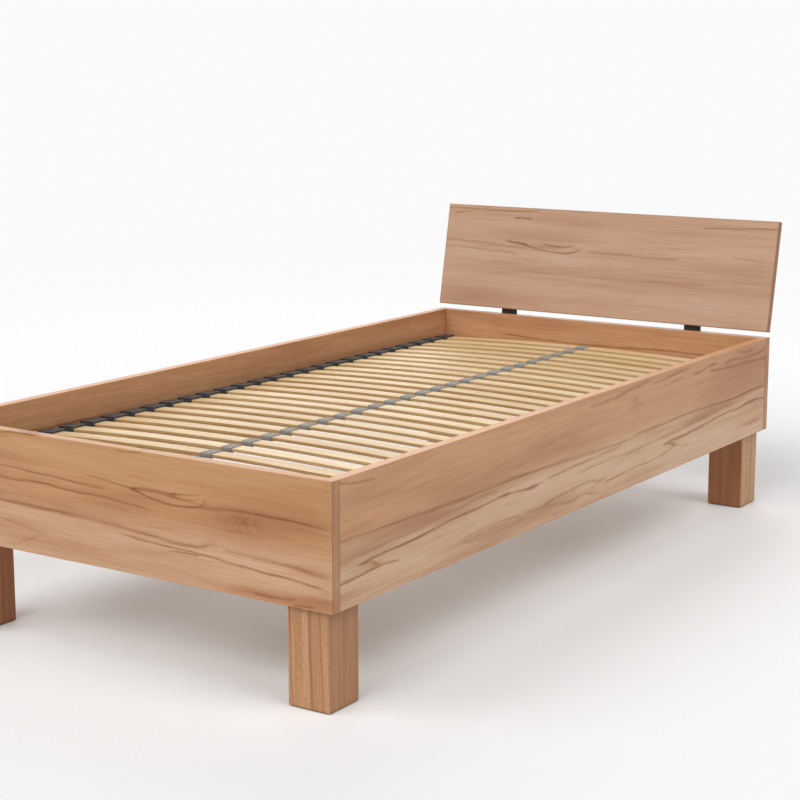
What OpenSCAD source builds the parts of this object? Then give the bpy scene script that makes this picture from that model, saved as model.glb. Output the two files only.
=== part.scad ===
// Single bed frame in solid beech: four panels on block legs, a tilted headboard on steel bars,
// and a sprung slatted base that lies loose on ledges and lifts out.
// Millimetres, +Z up. The origin is on the floor under the middle of the whole bed.
// +X points to the bed's right side, and +Y points from the foot to the head.

/* [Mattress] */
// Width of the mattress that the frame takes
mattress_w = 1000; // [900:10:1200]
// Length of the mattress
mattress_l = 2000; // [1900:10:2200]
// Play between the mattress and the frame on each side
mattress_play = 10; // [5:1:15]

/* [Frame] */
// Thickness of the foot panel, head panel and side rails
panel_t = 25; // [24:1:30]
// Height of the foot panel, head panel and side rails
panel_h = 258; // [240:2:300]
// Height of the panels' lower edge above the floor
panel_z = 207; // [150:1:300]
// Rounding of the edges of every panel and leg
edge_r = 1.5; // [0.5:0.5:3]

/* [Legs] */
// Width of the square leg blocks
leg_w = 98; // [92:1:120]
// How far the legs stand back from the sides
leg_side_set = 20; // [5:1:22]
// How far the foot legs stand back from the foot end
leg_foot_set = 15; // [5:1:22]
// How far the head legs stand back from the head panel's outer face
leg_head_set = 20; // [5:1:22]
// Height of a leg's post inside the corner of the frame
post_h = 123; // [115:1:140]
// Thickness of the felt glide under each leg
glide_t = 2; // [1:0.5:4]

/* [Headboard] */
// Thickness of the headboard
headboard_t = 22; // [18:1:25]
// Height of the headboard, measured along its slope
headboard_h = 305; // [250:5:400]
// How far the headboard leans back, in degrees
headboard_tilt = 11; // [5:1:15]
// Gap between the head panel's top and the headboard's lower front edge
headboard_gap = 17; // [10:1:30]
// Distance of each steel bar from the centre line
bar_x = 300; // [200:10:350]

/* [Slatted base] */
// Width of the base's long beams and cross rails
beam_w = 25; // [22:1:30]
// Height of the base's long beams and cross rails
beam_h = 42; // [38:1:50]
// Width of one sprung slat
slat_w = 38; // [34:1:42]
// Thickness of one sprung slat
slat_t = 8; // [7:0.5:9]
// How far a slat's middle rises above its ends
slat_rise = 12; // [6:1:14]

/* [Hidden] */
SLAT_COUNT = 28;

function slat_name(i) = str("slat_", i < 10 ? "0" : "", i);

$fn = 48;

// Colours of the finishes
BEECH = "#C9A283";
BEECH_DARK = "#B58A6B";
PINE = "#D9BC94";
BIRCH = "#DCC6A0";
STEEL = "#8F9397";
BLACK_STEEL = "#2B2B2D";
ELASTOMER = "#3A3A3C";
FELT = "#6B645C";
WEBBING = "#8C8880";

// Small overlaps that keep cuts clean
eps = 0.01;
over = 1;

// Outline of the frame
inner_w = mattress_w + 2 * mattress_play;
inner_l = mattress_l + 2 * mattress_play;
frame_w = inner_w + 2 * panel_t;
frame_l = inner_l + 2 * panel_t;
panel_top = panel_z + panel_h;
headboard_reach = (headboard_h - edge_r) * sin(headboard_tilt) + edge_r * (1 - cos(headboard_tilt));
overall_l = frame_l + headboard_reach;
y_foot = -overall_l / 2; // outer face of the foot panel
y_head = y_foot + frame_l; // outer face of the head panel

// Rebated leg posts and the bolts that pull them into the corners
side_shoulder = panel_t - leg_side_set;
post_w = leg_w - side_shoulder;
post_top = panel_z + post_h;
bolt_d = 8;
bolt_l = 70;
bolt_head_d = 13;
bolt_head_h = 8;
bolt_grip = 13; // length of the bolt inside its threaded insert
insert_d = 12;
insert_l = 15;
insert_bore = 8.2;
washer_d = 17;
washer_t = 1.6;
counterbore_d = 19;
drill_play = 0.5;
press_play = 0.2;
side_bolt_up = [25, 85]; // heights of the bolts into the side rail, above the panels' lower edge
end_bolt_up = [45, 105]; // heights of the bolts into the foot or head panel

// Dowels that line up the side rails with the foot and head panels
dowel_d = 8;
dowel_l = 40;
dowel_in_panel = 15;
dowel_up = [60, 198];
glue_gap = 1;

// Countersunk wood screws of the ledges and the slatted base
screw_d = 5;
screw_head_d = 10;
screw_hole_d = 5.2;
screw_sink = 0.2; // depth of a head below the surface
ledge_screw_l = 50;
base_screw_l = 60;

// Steel bars that carry the headboard
bar_w = 50;
bar_t = 5;
bar_corner_r = 8;
bar_bend_r = 6;
bar_low_l = 125;
bar_high_l = 190;
bar_bolt_down = [30, 90]; // distances of the bolts below the head panel's top edge
bar_bolt_l = 18;
bar_bolt_head_h = 4.4;
bar_screw_d = 4;
bar_screw_l = 20;
bar_screw_head_d = 9;
bar_screw_head_h = 2.8;
bar_screw_hole_d = 5.5;
pilot_d = 4.2;
bar_screw_up = [45, 105, 165]; // distances of the screws above the headboard's lower edge
headboard_z = panel_top + headboard_gap;
bend_z = headboard_z - headboard_t * sin(headboard_tilt);

// Ledges that the slatted base rests on
ledge_w = 35;
ledge_h = 30;
ledge_screw_count = 7;
ledge_screw_end = 80;
leg_foot_inner = leg_foot_set + leg_w; // inner face of a foot leg, from the foot panel's outer face
leg_head_inner = frame_l - leg_head_set - leg_w;
ledge_l = leg_head_inner - leg_foot_inner;

// Slatted base
base_play_x = 15;
base_play_y = 20;
base_w = inner_w - 2 * base_play_x;
base_l = inner_l - 2 * base_play_y;
base_foot = panel_t + base_play_y; // from the foot panel's outer face
base_z = post_top;
beam_top = base_z + beam_h;
slat_end_inset = 45;
slat_pitch = (base_l - 2 * slat_end_inset) / (SLAT_COUNT - 1);
slat_half = base_w / 2 - 11;
slat_end_up = 13; // height of a slat's centre line above the beam, at the slat's end
slat_r = (slat_half * slat_half + slat_rise * slat_rise) / (2 * slat_rise);
slat_angle = 2 * asin(slat_half / slat_r);
slat_round = 2;
beam_r = 2;
cross_screw_up = [14, 28];

// Moulded holders, one under each pair of slat ends
holder_l = 43;
holder_wall = 3.5;
pocket_play = 1;
pocket_l = 36;
pocket_end = 7; // wall behind the pocket
peg_d = 8;
peg_l = 14;
saddle_h = 14;
saddle_dip = 9;
soft_slot = [14, 3.6];

// Webbing that links the slats along the middle of the base
strap_w = 30;
strap_t = 1;
strap_play = 0.3;
strap_seam = 0.25; // how deep a loop is pressed into the band
strap_drop = 11;
strap_lap = 10;

// ---- General shapes ----

function unit(v) = v / norm(v);

function arc(centre, radius, from, to, steps = 8) =
    [for (i = [0:steps]) let(a = from + (to - from) * i / steps)
        centre + radius * [cos(a), sin(a)]];

// Points of the arc that rounds the corner b between a and c
function corner_arc(a, b, c, radius) =
    let(
        u = unit(a - b),
        v = unit(c - b),
        half = acos(u * v) / 2,
        centre = b + unit(u + v) * radius / sin(half),
        p = b + u * radius / tan(half) - centre,
        q = b + v * radius / tan(half) - centre,
        from = atan2(p[1], p[0]),
        turn = (atan2(q[1], q[0]) - from + 540) % 360 - 180
    )
    arc(centre, radius, from, from + turn, 5);

function rounded_points(points, radius) =
    let(n = len(points))
    [for (i = [0:n - 1])
        each corner_arc(points[(i + n - 1) % n], points[i], points[(i + 1) % n], radius)];

module rounded_rect(w, h, r) {
    translate([r, 0])
        square([w - 2 * r, h]);
    translate([0, r])
        square([w, h - 2 * r]);
    for (x = [r, w - r], y = [r, h - r])
        translate([x, y])
            circle(r);
}

// A board with all twelve edges rounded, from the origin
module board(size, r = edge_r) {
    intersection() {
        linear_extrude(size[2])
            rounded_rect(size[0], size[1], r);
        translate([0, size[1], 0])
            rotate([90, 0, 0])
                linear_extrude(size[1])
                    rounded_rect(size[0], size[2], r);
        rotate([90, 0, 90])
            linear_extrude(size[0])
                rounded_rect(size[1], size[2], r);
    }
}

// Extrudes a profile drawn in the Y-Z plane along +X
module along_x(length) {
    rotate([90, 0, 90])
        linear_extrude(length)
            children();
}

// Turns a piece modelled along +Z so that it points along the given axis
module pointing(axis) {
    if (axis == "x")
        rotate([0, 90, 0])
            children();
    if (axis == "-x")
        rotate([0, -90, 0])
            children();
    if (axis == "y")
        rotate([-90, 0, 0])
            children();
    if (axis == "-y")
        rotate([90, 0, 0])
            children();
}

// Places children that are measured from the foot panel's outer face
module from_foot() {
    translate([0, y_foot, 0])
        children();
}

// Repeats children on both sides; they are modelled on the right side
module both_sides() {
    children();
    mirror([1, 0, 0])
        children();
}

// ---- Fasteners, each with its head's seat at the origin and its shank along +Z ----

// Through hole for a countersunk screw, with a funnel of 90 degrees that sinks the head
module screw_hole(length) {
    mouth_d = screw_head_d + 2 * screw_sink;
    cylinder(d = screw_hole_d, h = length);
    cylinder(d1 = mouth_d, d2 = screw_hole_d, h = (mouth_d - screw_hole_d) / 2);
}

// Wood screw with a countersunk head flush with the origin plane
module countersunk_screw(d, length, head_d) {
    head_h = (head_d - d) / 2;
    difference() {
        rotate_extrude()
            polygon([[0, 0], [head_d / 2, 0], [d / 2, head_h], [d / 2, length - d], [0, length]]);
        translate([0, 0, -eps])
            cylinder(d = head_d / 2.4, h = head_h * 0.9, $fn = 6);
    }
}

// Wood screw with a domed head above the origin plane
module dome_screw(d, length, head_d, head_h) {
    difference() {
        rotate_extrude()
            polygon(concat(
                [[0, length], [0, -head_h]],
                [for (a = [75:-15:0]) [head_d / 2 * cos(a), -head_h * sin(a)]],
                [[d / 2, 0], [d / 2, length - d]]));
        translate([0, 0, -head_h - eps])
            cylinder(d = head_d / 2.4, h = head_h * 0.7, $fn = 6);
    }
}

// Machine bolt with a socket head above the origin plane
module socket_bolt(d, length, head_d, head_h) {
    difference() {
        rotate_extrude()
            polygon([
                [0, -head_h], [head_d / 2 - 0.8, -head_h], [head_d / 2, -head_h + 0.8],
                [head_d / 2, 0], [d / 2, 0], [d / 2, length - 1], [d / 2 - 1, length], [0, length]]);
        translate([0, 0, -head_h - eps])
            cylinder(d = d * 0.86, h = head_h * 0.55, $fn = 6);
    }
}

module washer() {
    difference() {
        cylinder(d = washer_d, h = washer_t);
        translate([0, 0, -over])
            cylinder(d = bolt_d + drill_play, h = washer_t + 2 * over);
    }
}

// Sleeve with an inner thread, open at the origin
module threaded_insert() {
    difference() {
        cylinder(d = insert_d, h = insert_l);
        translate([0, 0, -over])
            cylinder(d = insert_bore, h = insert_l + 2 * over);
        translate([0, 0, -eps])
            cylinder(d1 = insert_bore + 1.6, d2 = insert_bore, h = 0.8);
    }
}

module dowel() {
    rotate_extrude()
        polygon([
            [0, 0], [dowel_d / 2 - 1, 0], [dowel_d / 2, 1],
            [dowel_d / 2, dowel_l - 1], [dowel_d / 2 - 1, dowel_l], [0, dowel_l]]);
}

// ---- Places of the corner fasteners, measured from the foot panel's outer face ----

// Middle of each leg's post along the bed, at the foot and at the head
post_mid_y = [
    (panel_t + leg_foot_inner) / 2,
    (leg_head_inner + frame_l - panel_t) / 2];
// Middle of each leg's post across the bed, on the right side
post_mid_x = inner_w / 2 - post_w / 2;
post_inner_x = inner_w / 2 - post_w;

// Children at each bolt into a side rail, on the rail's inner face, pointing out of the bed
module at_side_bolts() {
    for (y = post_mid_y, up = side_bolt_up)
        translate([inner_w / 2, y, panel_z + up])
            pointing("x")
                children();
}

// Children at each bolt into an end panel, on the panel's inner face, pointing out of the bed
module at_foot_bolts() {
    for (up = end_bolt_up)
        translate([post_mid_x, panel_t, panel_z + up])
            pointing("-y")
                children();
}

module at_head_bolts() {
    for (up = end_bolt_up)
        translate([post_mid_x, frame_l - panel_t, panel_z + up])
            pointing("y")
                children();
}

// Children at each dowel, at the bottom of its hole in an end panel, pointing into the rail
module at_foot_dowels() {
    for (up = dowel_up)
        translate([frame_w / 2 - panel_t / 2, panel_t - dowel_in_panel, panel_z + up])
            pointing("y")
                children();
}

module at_head_dowels() {
    for (up = dowel_up)
        translate([frame_w / 2 - panel_t / 2, frame_l - panel_t + dowel_in_panel, panel_z + up])
            pointing("-y")
                children();
}

// Children at each bolt of a headboard bar, on the head panel's outer face, pointing inwards
module at_bar_bolts() {
    for (side = [-1, 1], down = bar_bolt_down)
        translate([side * bar_x, frame_l, panel_top - down])
            pointing("-y")
                children();
}

// Children in the headboard's own slope, with the origin at its lower back edge
module on_headboard() {
    translate([0, frame_l, bend_z])
        rotate([-headboard_tilt, 0, 0])
            children();
}

// Children at each headboard screw, on the headboard's back face, pointing into the wood
module at_headboard_screws() {
    on_headboard()
        for (side = [-1, 1], up = bar_screw_up)
            translate([side * bar_x, 0, up])
                pointing("-y")
                    children();
}

// Children at each ledge screw of the right side, on the ledge's inner face, pointing outwards
module at_ledge_screws() {
    span = ledge_l - 2 * ledge_screw_end;
    for (i = [0:ledge_screw_count - 1])
        translate([
            inner_w / 2 - ledge_w,
            leg_foot_inner + ledge_screw_end + i * span / (ledge_screw_count - 1),
            post_top - ledge_h / 2])
            pointing("x")
                children();
}

// ---- Frame ----

// Recess for one dowel end, as deep as the dowel goes and a little more for the glue
module dowel_hole(depth) {
    cylinder(d = dowel_d + press_play, h = depth + glue_gap);
}

module insert_hole() {
    cylinder(d = insert_d + press_play, h = insert_l + glue_gap);
}

module foot_panel() {
    color(BEECH)
        from_foot()
            difference() {
                translate([-frame_w / 2, 0, panel_z])
                    board([frame_w, panel_t, panel_h]);
                both_sides() {
                    at_foot_bolts()
                        insert_hole();
                    at_foot_dowels()
                        translate([0, 0, -glue_gap])
                            dowel_hole(dowel_in_panel);
                }
            }
}

module head_panel() {
    color(BEECH)
        from_foot()
            difference() {
                translate([-frame_w / 2, frame_l - panel_t, panel_z])
                    board([frame_w, panel_t, panel_h]);
                both_sides() {
                    at_head_bolts()
                        insert_hole();
                    at_head_dowels()
                        translate([0, 0, -glue_gap])
                            dowel_hole(dowel_in_panel);
                }
                at_bar_bolts()
                    insert_hole();
            }
}

// Side rail between the end panels, on the right side
module side_rail() {
    in_rail = dowel_l - dowel_in_panel;
    color(BEECH)
        from_foot()
            difference() {
                translate([inner_w / 2, panel_t, panel_z])
                    board([panel_t, inner_l, panel_h]);
                at_side_bolts()
                    insert_hole();
                at_foot_dowels()
                    translate([0, 0, dowel_in_panel])
                        dowel_hole(in_rail);
                at_head_dowels()
                    translate([0, 0, dowel_in_panel])
                        dowel_hole(in_rail);
                at_ledge_screws()
                    cylinder(d = screw_hole_d, h = ledge_screw_l + over);
            }
}

module side_rail_right() {
    side_rail();
}

module side_rail_left() {
    mirror([1, 0, 0])
        side_rail();
}

// Bore for one leg bolt, from its thread end back through the post, with a counterbore
// that takes the washer and the head
module leg_bolt_bore(post_depth) {
    seat = bolt_l - bolt_grip - washer_t; // depth of wood under the washer
    translate([0, 0, -seat - eps])
        cylinder(d = bolt_d + drill_play, h = seat + over);
    translate([0, 0, -post_depth - over])
        cylinder(d = counterbore_d, h = post_depth + over - seat);
}

// Right leg block, standing on its glide: its top is rebated at the side and at one end, which
// leaves shoulders under the panels and a post that fills the corner of the frame
module leg_blank(block_y, rebate_y, rebate_l) {
    difference() {
        translate([post_inner_x, block_y, glide_t])
            board([leg_w, leg_w, post_top - glide_t]);
        translate([inner_w / 2, block_y - over, panel_z])
            cube([side_shoulder + over, leg_w + 2 * over, post_h + over]);
        translate([post_inner_x - over, rebate_y, panel_z])
            cube([leg_w + 2 * over, rebate_l, post_h + over]);
    }
}

module leg_foot() {
    color(BEECH_DARK)
        from_foot()
            difference() {
                leg_blank(leg_foot_set, 0, panel_t);
                at_side_bolts()
                    leg_bolt_bore(post_w);
                at_foot_bolts()
                    leg_bolt_bore(leg_foot_inner - panel_t);
            }
}

module leg_head() {
    color(BEECH_DARK)
        from_foot()
            difference() {
                leg_blank(leg_head_inner, frame_l - panel_t, panel_t);
                at_side_bolts()
                    leg_bolt_bore(post_w);
                at_head_bolts()
                    leg_bolt_bore(frame_l - panel_t - leg_head_inner);
            }
}

module leg_foot_right() {
    leg_foot();
}

module leg_foot_left() {
    mirror([1, 0, 0])
        leg_foot();
}

module leg_head_right() {
    leg_head();
}

module leg_head_left() {
    mirror([1, 0, 0])
        leg_head();
}

module felt_glides() {
    inset = 5;
    pad = leg_w - 2 * inset;
    color(FELT)
        from_foot()
            both_sides()
                for (y = [leg_foot_set, leg_head_inner])
                    translate([post_inner_x + inset, y + inset, 0])
                        linear_extrude(glide_t)
                            rounded_rect(pad, pad, 6);
}

// ---- Headboard ----

module headboard() {
    color(BEECH)
        from_foot()
            difference() {
                on_headboard()
                    translate([-frame_w / 2, -headboard_t, 0])
                        board([frame_w, headboard_t, headboard_h]);
                at_headboard_screws()
                    cylinder(d = pilot_d, h = bar_screw_l - bar_t + over);
            }
}

// Bent flat bar: the lower limb is bolted to the head panel, the upper limb carries the headboard
module headboard_bar() {
    outer_r = bar_bend_r + bar_t;
    centre = [outer_r, -outer_r * tan(headboard_tilt / 2)];
    slope = [sin(headboard_tilt), cos(headboard_tilt)];
    outward = [cos(headboard_tilt), -sin(headboard_tilt)];
    difference() {
        intersection() {
            translate([0, frame_l, bend_z])
                along_x(bar_w)
                    polygon(concat(
                        [[0, -bar_low_l]],
                        arc(centre, outer_r, 180, 180 - headboard_tilt, 5),
                        [slope * bar_high_l, slope * bar_high_l + outward * bar_t],
                        arc(centre, bar_bend_r, 180 - headboard_tilt, 180, 5),
                        [[bar_t, -bar_low_l]]));
            translate([0, frame_l + bar_high_l, bend_z - bar_low_l])
                rotate([90, 0, 0])
                    linear_extrude(2 * bar_high_l)
                        rounded_rect(bar_w, bar_low_l + bar_high_l * slope[1], bar_corner_r);
        }
        for (down = bar_bolt_down)
            translate([bar_w / 2, frame_l - over, panel_top - down])
                pointing("y")
                    cylinder(d = bolt_d + drill_play, h = bar_t + 2 * over);
        on_headboard()
            for (up = bar_screw_up)
                translate([bar_w / 2, -over, up])
                    pointing("y")
                        cylinder(d = bar_screw_hole_d, h = bar_t + 2 * over);
    }
}

module headboard_bracket_right() {
    color(BLACK_STEEL)
        from_foot()
            translate([bar_x - bar_w / 2, 0, 0])
                headboard_bar();
}

module headboard_bracket_left() {
    color(BLACK_STEEL)
        from_foot()
            translate([-bar_x - bar_w / 2, 0, 0])
                headboard_bar();
}

module bracket_bolts() {
    color(STEEL)
        from_foot()
            at_bar_bolts()
                translate([0, 0, -bar_t])
                    socket_bolt(bolt_d, bar_bolt_l, bolt_head_d, bar_bolt_head_h);
}

module headboard_screws() {
    color(STEEL)
        from_foot()
            at_headboard_screws()
                translate([0, 0, -bar_t])
                    dome_screw(bar_screw_d, bar_screw_l, bar_screw_head_d, bar_screw_head_h);
}

// ---- Ledges and corner fasteners ----

module ledge() {
    color(PINE)
        from_foot()
            difference() {
                translate([inner_w / 2 - ledge_w, leg_foot_inner, post_top - ledge_h])
                    board([ledge_w, ledge_l, ledge_h]);
                at_ledge_screws()
                    translate([0, 0, -eps])
                        screw_hole(ledge_w + over);
            }
}

module ledge_right() {
    ledge();
}

module ledge_left() {
    mirror([1, 0, 0])
        ledge();
}

module ledge_screws() {
    color(STEEL)
        from_foot()
            both_sides()
                at_ledge_screws()
                    translate([0, 0, screw_sink])
                        countersunk_screw(screw_d, ledge_screw_l, screw_head_d);
}

// Children at every leg bolt, at the face between post and panel
module at_leg_bolts() {
    both_sides() {
        at_side_bolts()
            children();
        at_foot_bolts()
            children();
        at_head_bolts()
            children();
    }
}

module leg_bolts() {
    color(STEEL)
        from_foot()
            at_leg_bolts()
                translate([0, 0, bolt_grip - bolt_l])
                    socket_bolt(bolt_d, bolt_l, bolt_head_d, bolt_head_h);
}

module leg_washers() {
    color(STEEL)
        from_foot()
            at_leg_bolts()
                translate([0, 0, bolt_grip - bolt_l])
                    washer();
}

module threaded_inserts() {
    color(STEEL)
        from_foot() {
            at_leg_bolts()
                threaded_insert();
            at_bar_bolts()
                threaded_insert();
        }
}

module corner_dowels() {
    color(BEECH_DARK)
        from_foot()
            both_sides() {
                at_foot_dowels()
                    dowel();
                at_head_dowels()
                    dowel();
            }
}

// ---- Slatted base ----

// Position of slat i along the bed, from the foot panel's outer face
function slat_y(i) = base_foot + slat_end_inset + (i - 1) * slat_pitch;

// Height of a slat's centre line at a distance x from the bed's centre line
function slat_z(x) =
    beam_top + slat_end_up + slat_rise - slat_r + sqrt(slat_r * slat_r - x * x);

cross_y = [
    base_foot,
    base_foot + base_l / 2 - beam_w / 2,
    base_foot + base_l - beam_w];

// Children at each screw through a beam into a cross rail, on the right beam's outer face
module at_base_screws() {
    for (y = cross_y, up = cross_screw_up)
        translate([base_w / 2, y + beam_w / 2, base_z + up])
            pointing("-x")
                children();
}

// Long beam of the right side, drilled for the holders' pegs and the cross rails' screws
module base_beam() {
    color(PINE)
        from_foot()
            difference() {
                translate([base_w / 2 - beam_w, base_foot, base_z])
                    board([beam_w, base_l, beam_h], beam_r);
                for (i = [1:SLAT_COUNT])
                    translate([base_w / 2 - beam_w / 2, slat_y(i), beam_top - peg_l - over])
                        cylinder(d = peg_d + press_play, h = peg_l + 2 * over);
                at_base_screws()
                    translate([0, 0, -eps])
                        screw_hole(beam_w + over);
            }
}

module base_beam_right() {
    base_beam();
}

module base_beam_left() {
    mirror([1, 0, 0])
        base_beam();
}

// Cross rail between the beams, drilled at its ends
module base_cross(y) {
    color(PINE)
        from_foot()
            difference() {
                translate([beam_w - base_w / 2, y, base_z])
                    board([base_w - 2 * beam_w, beam_w, beam_h], beam_r);
                both_sides()
                    at_base_screws()
                        cylinder(d = screw_hole_d, h = base_screw_l + over);
            }
}

module base_cross_foot() {
    base_cross(cross_y[0]);
}

module base_cross_middle() {
    base_cross(cross_y[1]);
}

module base_cross_head() {
    base_cross(cross_y[2]);
}

module base_screws() {
    color(STEEL)
        from_foot()
            both_sides()
                at_base_screws()
                    translate([0, 0, screw_sink])
                        countersunk_screw(screw_d, base_screw_l, screw_head_d);
}

// Sprung slat: a rounded strip bent to a shallow arc across the bed
module slat(i) {
    color(BIRCH)
        from_foot()
            translate([0, slat_y(i), slat_z(0) - slat_r])
                rotate([90, 0, 0])
                    rotate([0, 0, 90 - slat_angle / 2])
                        rotate_extrude(angle = slat_angle, $fn = 2000)
                            translate([slat_r - slat_t / 2, -slat_w / 2])
                                rounded_rect(slat_t, slat_w, slat_round);
}

sleeve_w = slat_w + pocket_play + 2 * holder_wall;
sleeve_h = slat_end_up + slat_t / 2 + 7;

// One sleeve of a holder on the right side, from the beam's outer face inwards, with a soft slot
// under the pocket and a peg into the beam
module holder_sleeve() {
    outer = base_w / 2;
    mouth = outer - holder_l;
    pocket_h = slat_t + pocket_play;
    pocket_x = outer - pocket_l / 2 - pocket_end;
    lean = asin(pocket_x / slat_r);
    beam_inner = outer - beam_w;
    side = [
        [outer, beam_top], [outer, beam_top + sleeve_h - 3], [mouth, beam_top + sleeve_h],
        [mouth, beam_top + 8], [beam_inner, beam_top]];
    difference() {
        translate([0, sleeve_w / 2, 0])
            rotate([90, 0, 0])
                linear_extrude(sleeve_w)
                    polygon(rounded_points(side, 1.5));
        translate([pocket_x, 0, slat_z(pocket_x)])
            rotate([0, lean, 0])
                translate([-pocket_l / 2 - over, -(slat_w + pocket_play) / 2, -pocket_h / 2])
                    along_x(pocket_l + over)
                        rounded_rect(slat_w + pocket_play, pocket_h, slat_round);
        translate([outer - soft_slot[0] - 6, sleeve_w / 2 + over, beam_top + 2])
            rotate([90, 0, 0])
                linear_extrude(sleeve_w + 2 * over)
                    rounded_rect(soft_slot[0], soft_slot[1], soft_slot[1] / 2 - 0.1);
    }
    translate([outer - beam_w / 2, 0, beam_top])
        mirror([0, 0, 1])
            rotate_extrude()
                polygon([
                    [0, -1], [peg_d / 2, -1], [peg_d / 2, peg_l - 2],
                    [peg_d / 2 - 1.5, peg_l], [0, peg_l]]);
}

// Saddle that joins the two sleeves of a holder, its top dipped in a round arc
module holder_saddle() {
    gap = slat_pitch - sleeve_w;
    dip_r = (gap * gap / 4 + saddle_dip * saddle_dip) / (2 * saddle_dip);
    translate([base_w / 2 - beam_w + 2, 0, beam_top])
        along_x(beam_w - 4)
            difference() {
                translate([-gap / 2 - over, 0])
                    square([gap + 2 * over, saddle_h]);
                translate([0, saddle_h - saddle_dip + dip_r])
                    circle(dip_r);
            }
}

module holder_pair() {
    for (side = [-1, 1])
        translate([0, side * slat_pitch / 2, 0])
            holder_sleeve();
    holder_saddle();
}

module slat_holders() {
    color(ELASTOMER)
        from_foot()
            for (i = [1:2:SLAT_COUNT])
                translate([0, slat_y(i) + slat_pitch / 2, 0])
                    holder_pair();
}

module slat_holders_right() {
    slat_holders();
}

module slat_holders_left() {
    mirror([1, 0, 0])
        slat_holders();
}

// Outline of the band from the side: flat under the slats, dropping at both ends to lie on the
// cross rails; from and to are where it starts to drop
function band_outline(from, to, z) = [
    [from - strap_drop - strap_lap, beam_top],
    [from - strap_drop + strap_t / 2, beam_top],
    [from + strap_t / 2, z],
    [to - strap_t / 2, z],
    [to + strap_drop - strap_t / 2, beam_top],
    [to + strap_drop + strap_lap, beam_top],
    [to + strap_drop + strap_lap, beam_top + strap_t],
    [to + strap_drop, beam_top + strap_t],
    [to, z + strap_t],
    [from, z + strap_t],
    [from - strap_drop, beam_top + strap_t],
    [from - strap_drop - strap_lap, beam_top + strap_t]];

// Outline of slat i from the side, grown on all sides by a margin
module slat_outline(i, margin) {
    translate([slat_y(i) - slat_w / 2 - margin, slat_z(0) - slat_t / 2 - margin])
        rounded_rect(slat_w + 2 * margin, slat_t + 2 * margin, slat_round + margin);
}

// Webbing along the middle: a loop round each slat, sewn onto a band that runs under them all
module centre_strap() {
    wrap = strap_play + strap_t;
    z_band = slat_z(0) - slat_t / 2 - wrap - strap_t + strap_seam;
    from = slat_y(1) - slat_w / 2 + slat_round;
    to = slat_y(SLAT_COUNT) + slat_w / 2 - slat_round;
    color(WEBBING)
        from_foot()
            translate([-strap_w / 2, 0, 0])
                along_x(strap_w)
                    difference() {
                        union() {
                            polygon(band_outline(from, to, z_band));
                            for (i = [1:SLAT_COUNT])
                                slat_outline(i, wrap);
                        }
                        for (i = [1:SLAT_COUNT])
                            slat_outline(i, strap_play);
                    }
}

foot_panel();
head_panel();
side_rail_left();
side_rail_right();
leg_foot_left();
leg_foot_right();
leg_head_left();
leg_head_right();
felt_glides();
headboard();
headboard_bracket_left();
headboard_bracket_right();
bracket_bolts();
headboard_screws();
ledge_left();
ledge_right();
ledge_screws();
leg_bolts();
leg_washers();
threaded_inserts();
corner_dowels();
base_beam_left();
base_beam_right();
base_cross_foot();
base_cross_middle();
base_cross_head();
base_screws();
slat_holders_left();
slat_holders_right();
centre_strap();
for (i = [1:SLAT_COUNT])
    slat(i);
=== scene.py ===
# %% [markdown]
# # A single bed frame in heart beech
# The bed frame's shape comes ready-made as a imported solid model. This lesson gives it its looks: oiled
# beech with its dark heartwood lines, sprung slats with their plies, moulded holders, webbing, felt and
# zinc-plated screws, and then a pale studio to see it in. Everything is in metres, in the model's own
# frame: +X to the right, +Y from the foot end to the head end, +Z up.

# %% Load the frame
import math

import bpy
import numpy as np
from mathutils import Matrix, Vector


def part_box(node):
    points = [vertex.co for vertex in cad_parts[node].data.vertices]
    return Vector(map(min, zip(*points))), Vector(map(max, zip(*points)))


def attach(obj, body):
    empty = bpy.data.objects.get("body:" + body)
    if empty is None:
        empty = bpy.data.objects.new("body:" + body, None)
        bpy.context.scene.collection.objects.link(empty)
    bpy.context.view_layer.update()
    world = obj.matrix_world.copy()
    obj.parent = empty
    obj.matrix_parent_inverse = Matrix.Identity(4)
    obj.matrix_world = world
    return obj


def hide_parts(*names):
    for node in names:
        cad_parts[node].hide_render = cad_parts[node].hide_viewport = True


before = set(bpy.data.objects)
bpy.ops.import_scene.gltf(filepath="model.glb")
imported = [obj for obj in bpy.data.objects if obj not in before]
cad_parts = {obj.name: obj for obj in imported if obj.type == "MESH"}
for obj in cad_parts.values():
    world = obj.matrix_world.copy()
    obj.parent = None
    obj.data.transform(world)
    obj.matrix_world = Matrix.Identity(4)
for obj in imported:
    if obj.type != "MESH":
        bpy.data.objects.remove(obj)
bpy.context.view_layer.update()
scene = bpy.context.scene
MM = 0.001

# %% [markdown]
# ## Colours
# Finishes are talked about as sRGB hex values, as on a paint card. Shaders add up light, so they want
# linear values. One function turns the first into the second.


# %% Colours
def linear(code):
    """An sRGB hex code as linear red, green, blue and alpha. Each part follows the sRGB curve backwards:
    a straight line near black, and above it a power of 2.4."""
    parts = [int(code[i : i + 2], 16) / 255 for i in (1, 3, 5)]
    return (*(p / 12.92 if p <= 0.04045 else ((p + 0.055) / 1.055) ** 2.4 for p in parts), 1.0)


def grey(value):
    """A linear grey, for masks."""
    return (value, value, value, 1.0)


def warm(value):
    """A shade that turns redder as it darkens, as oiled wood does: green and blue fall off faster."""
    return (value, value**1.55, value**2.5, 1.0)


print("beech in linear light:", [round(v, 3) for v in linear("#C89B73")])

# %% [markdown]
# ## One function for every node
# A material is a small network of nodes. Adding one by hand takes three steps: make it, set its options,
# plug in its inputs. `add` does all three, so the lines that follow read like the network itself. It
# counts only the sockets that the chosen options leave in use.


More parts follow.
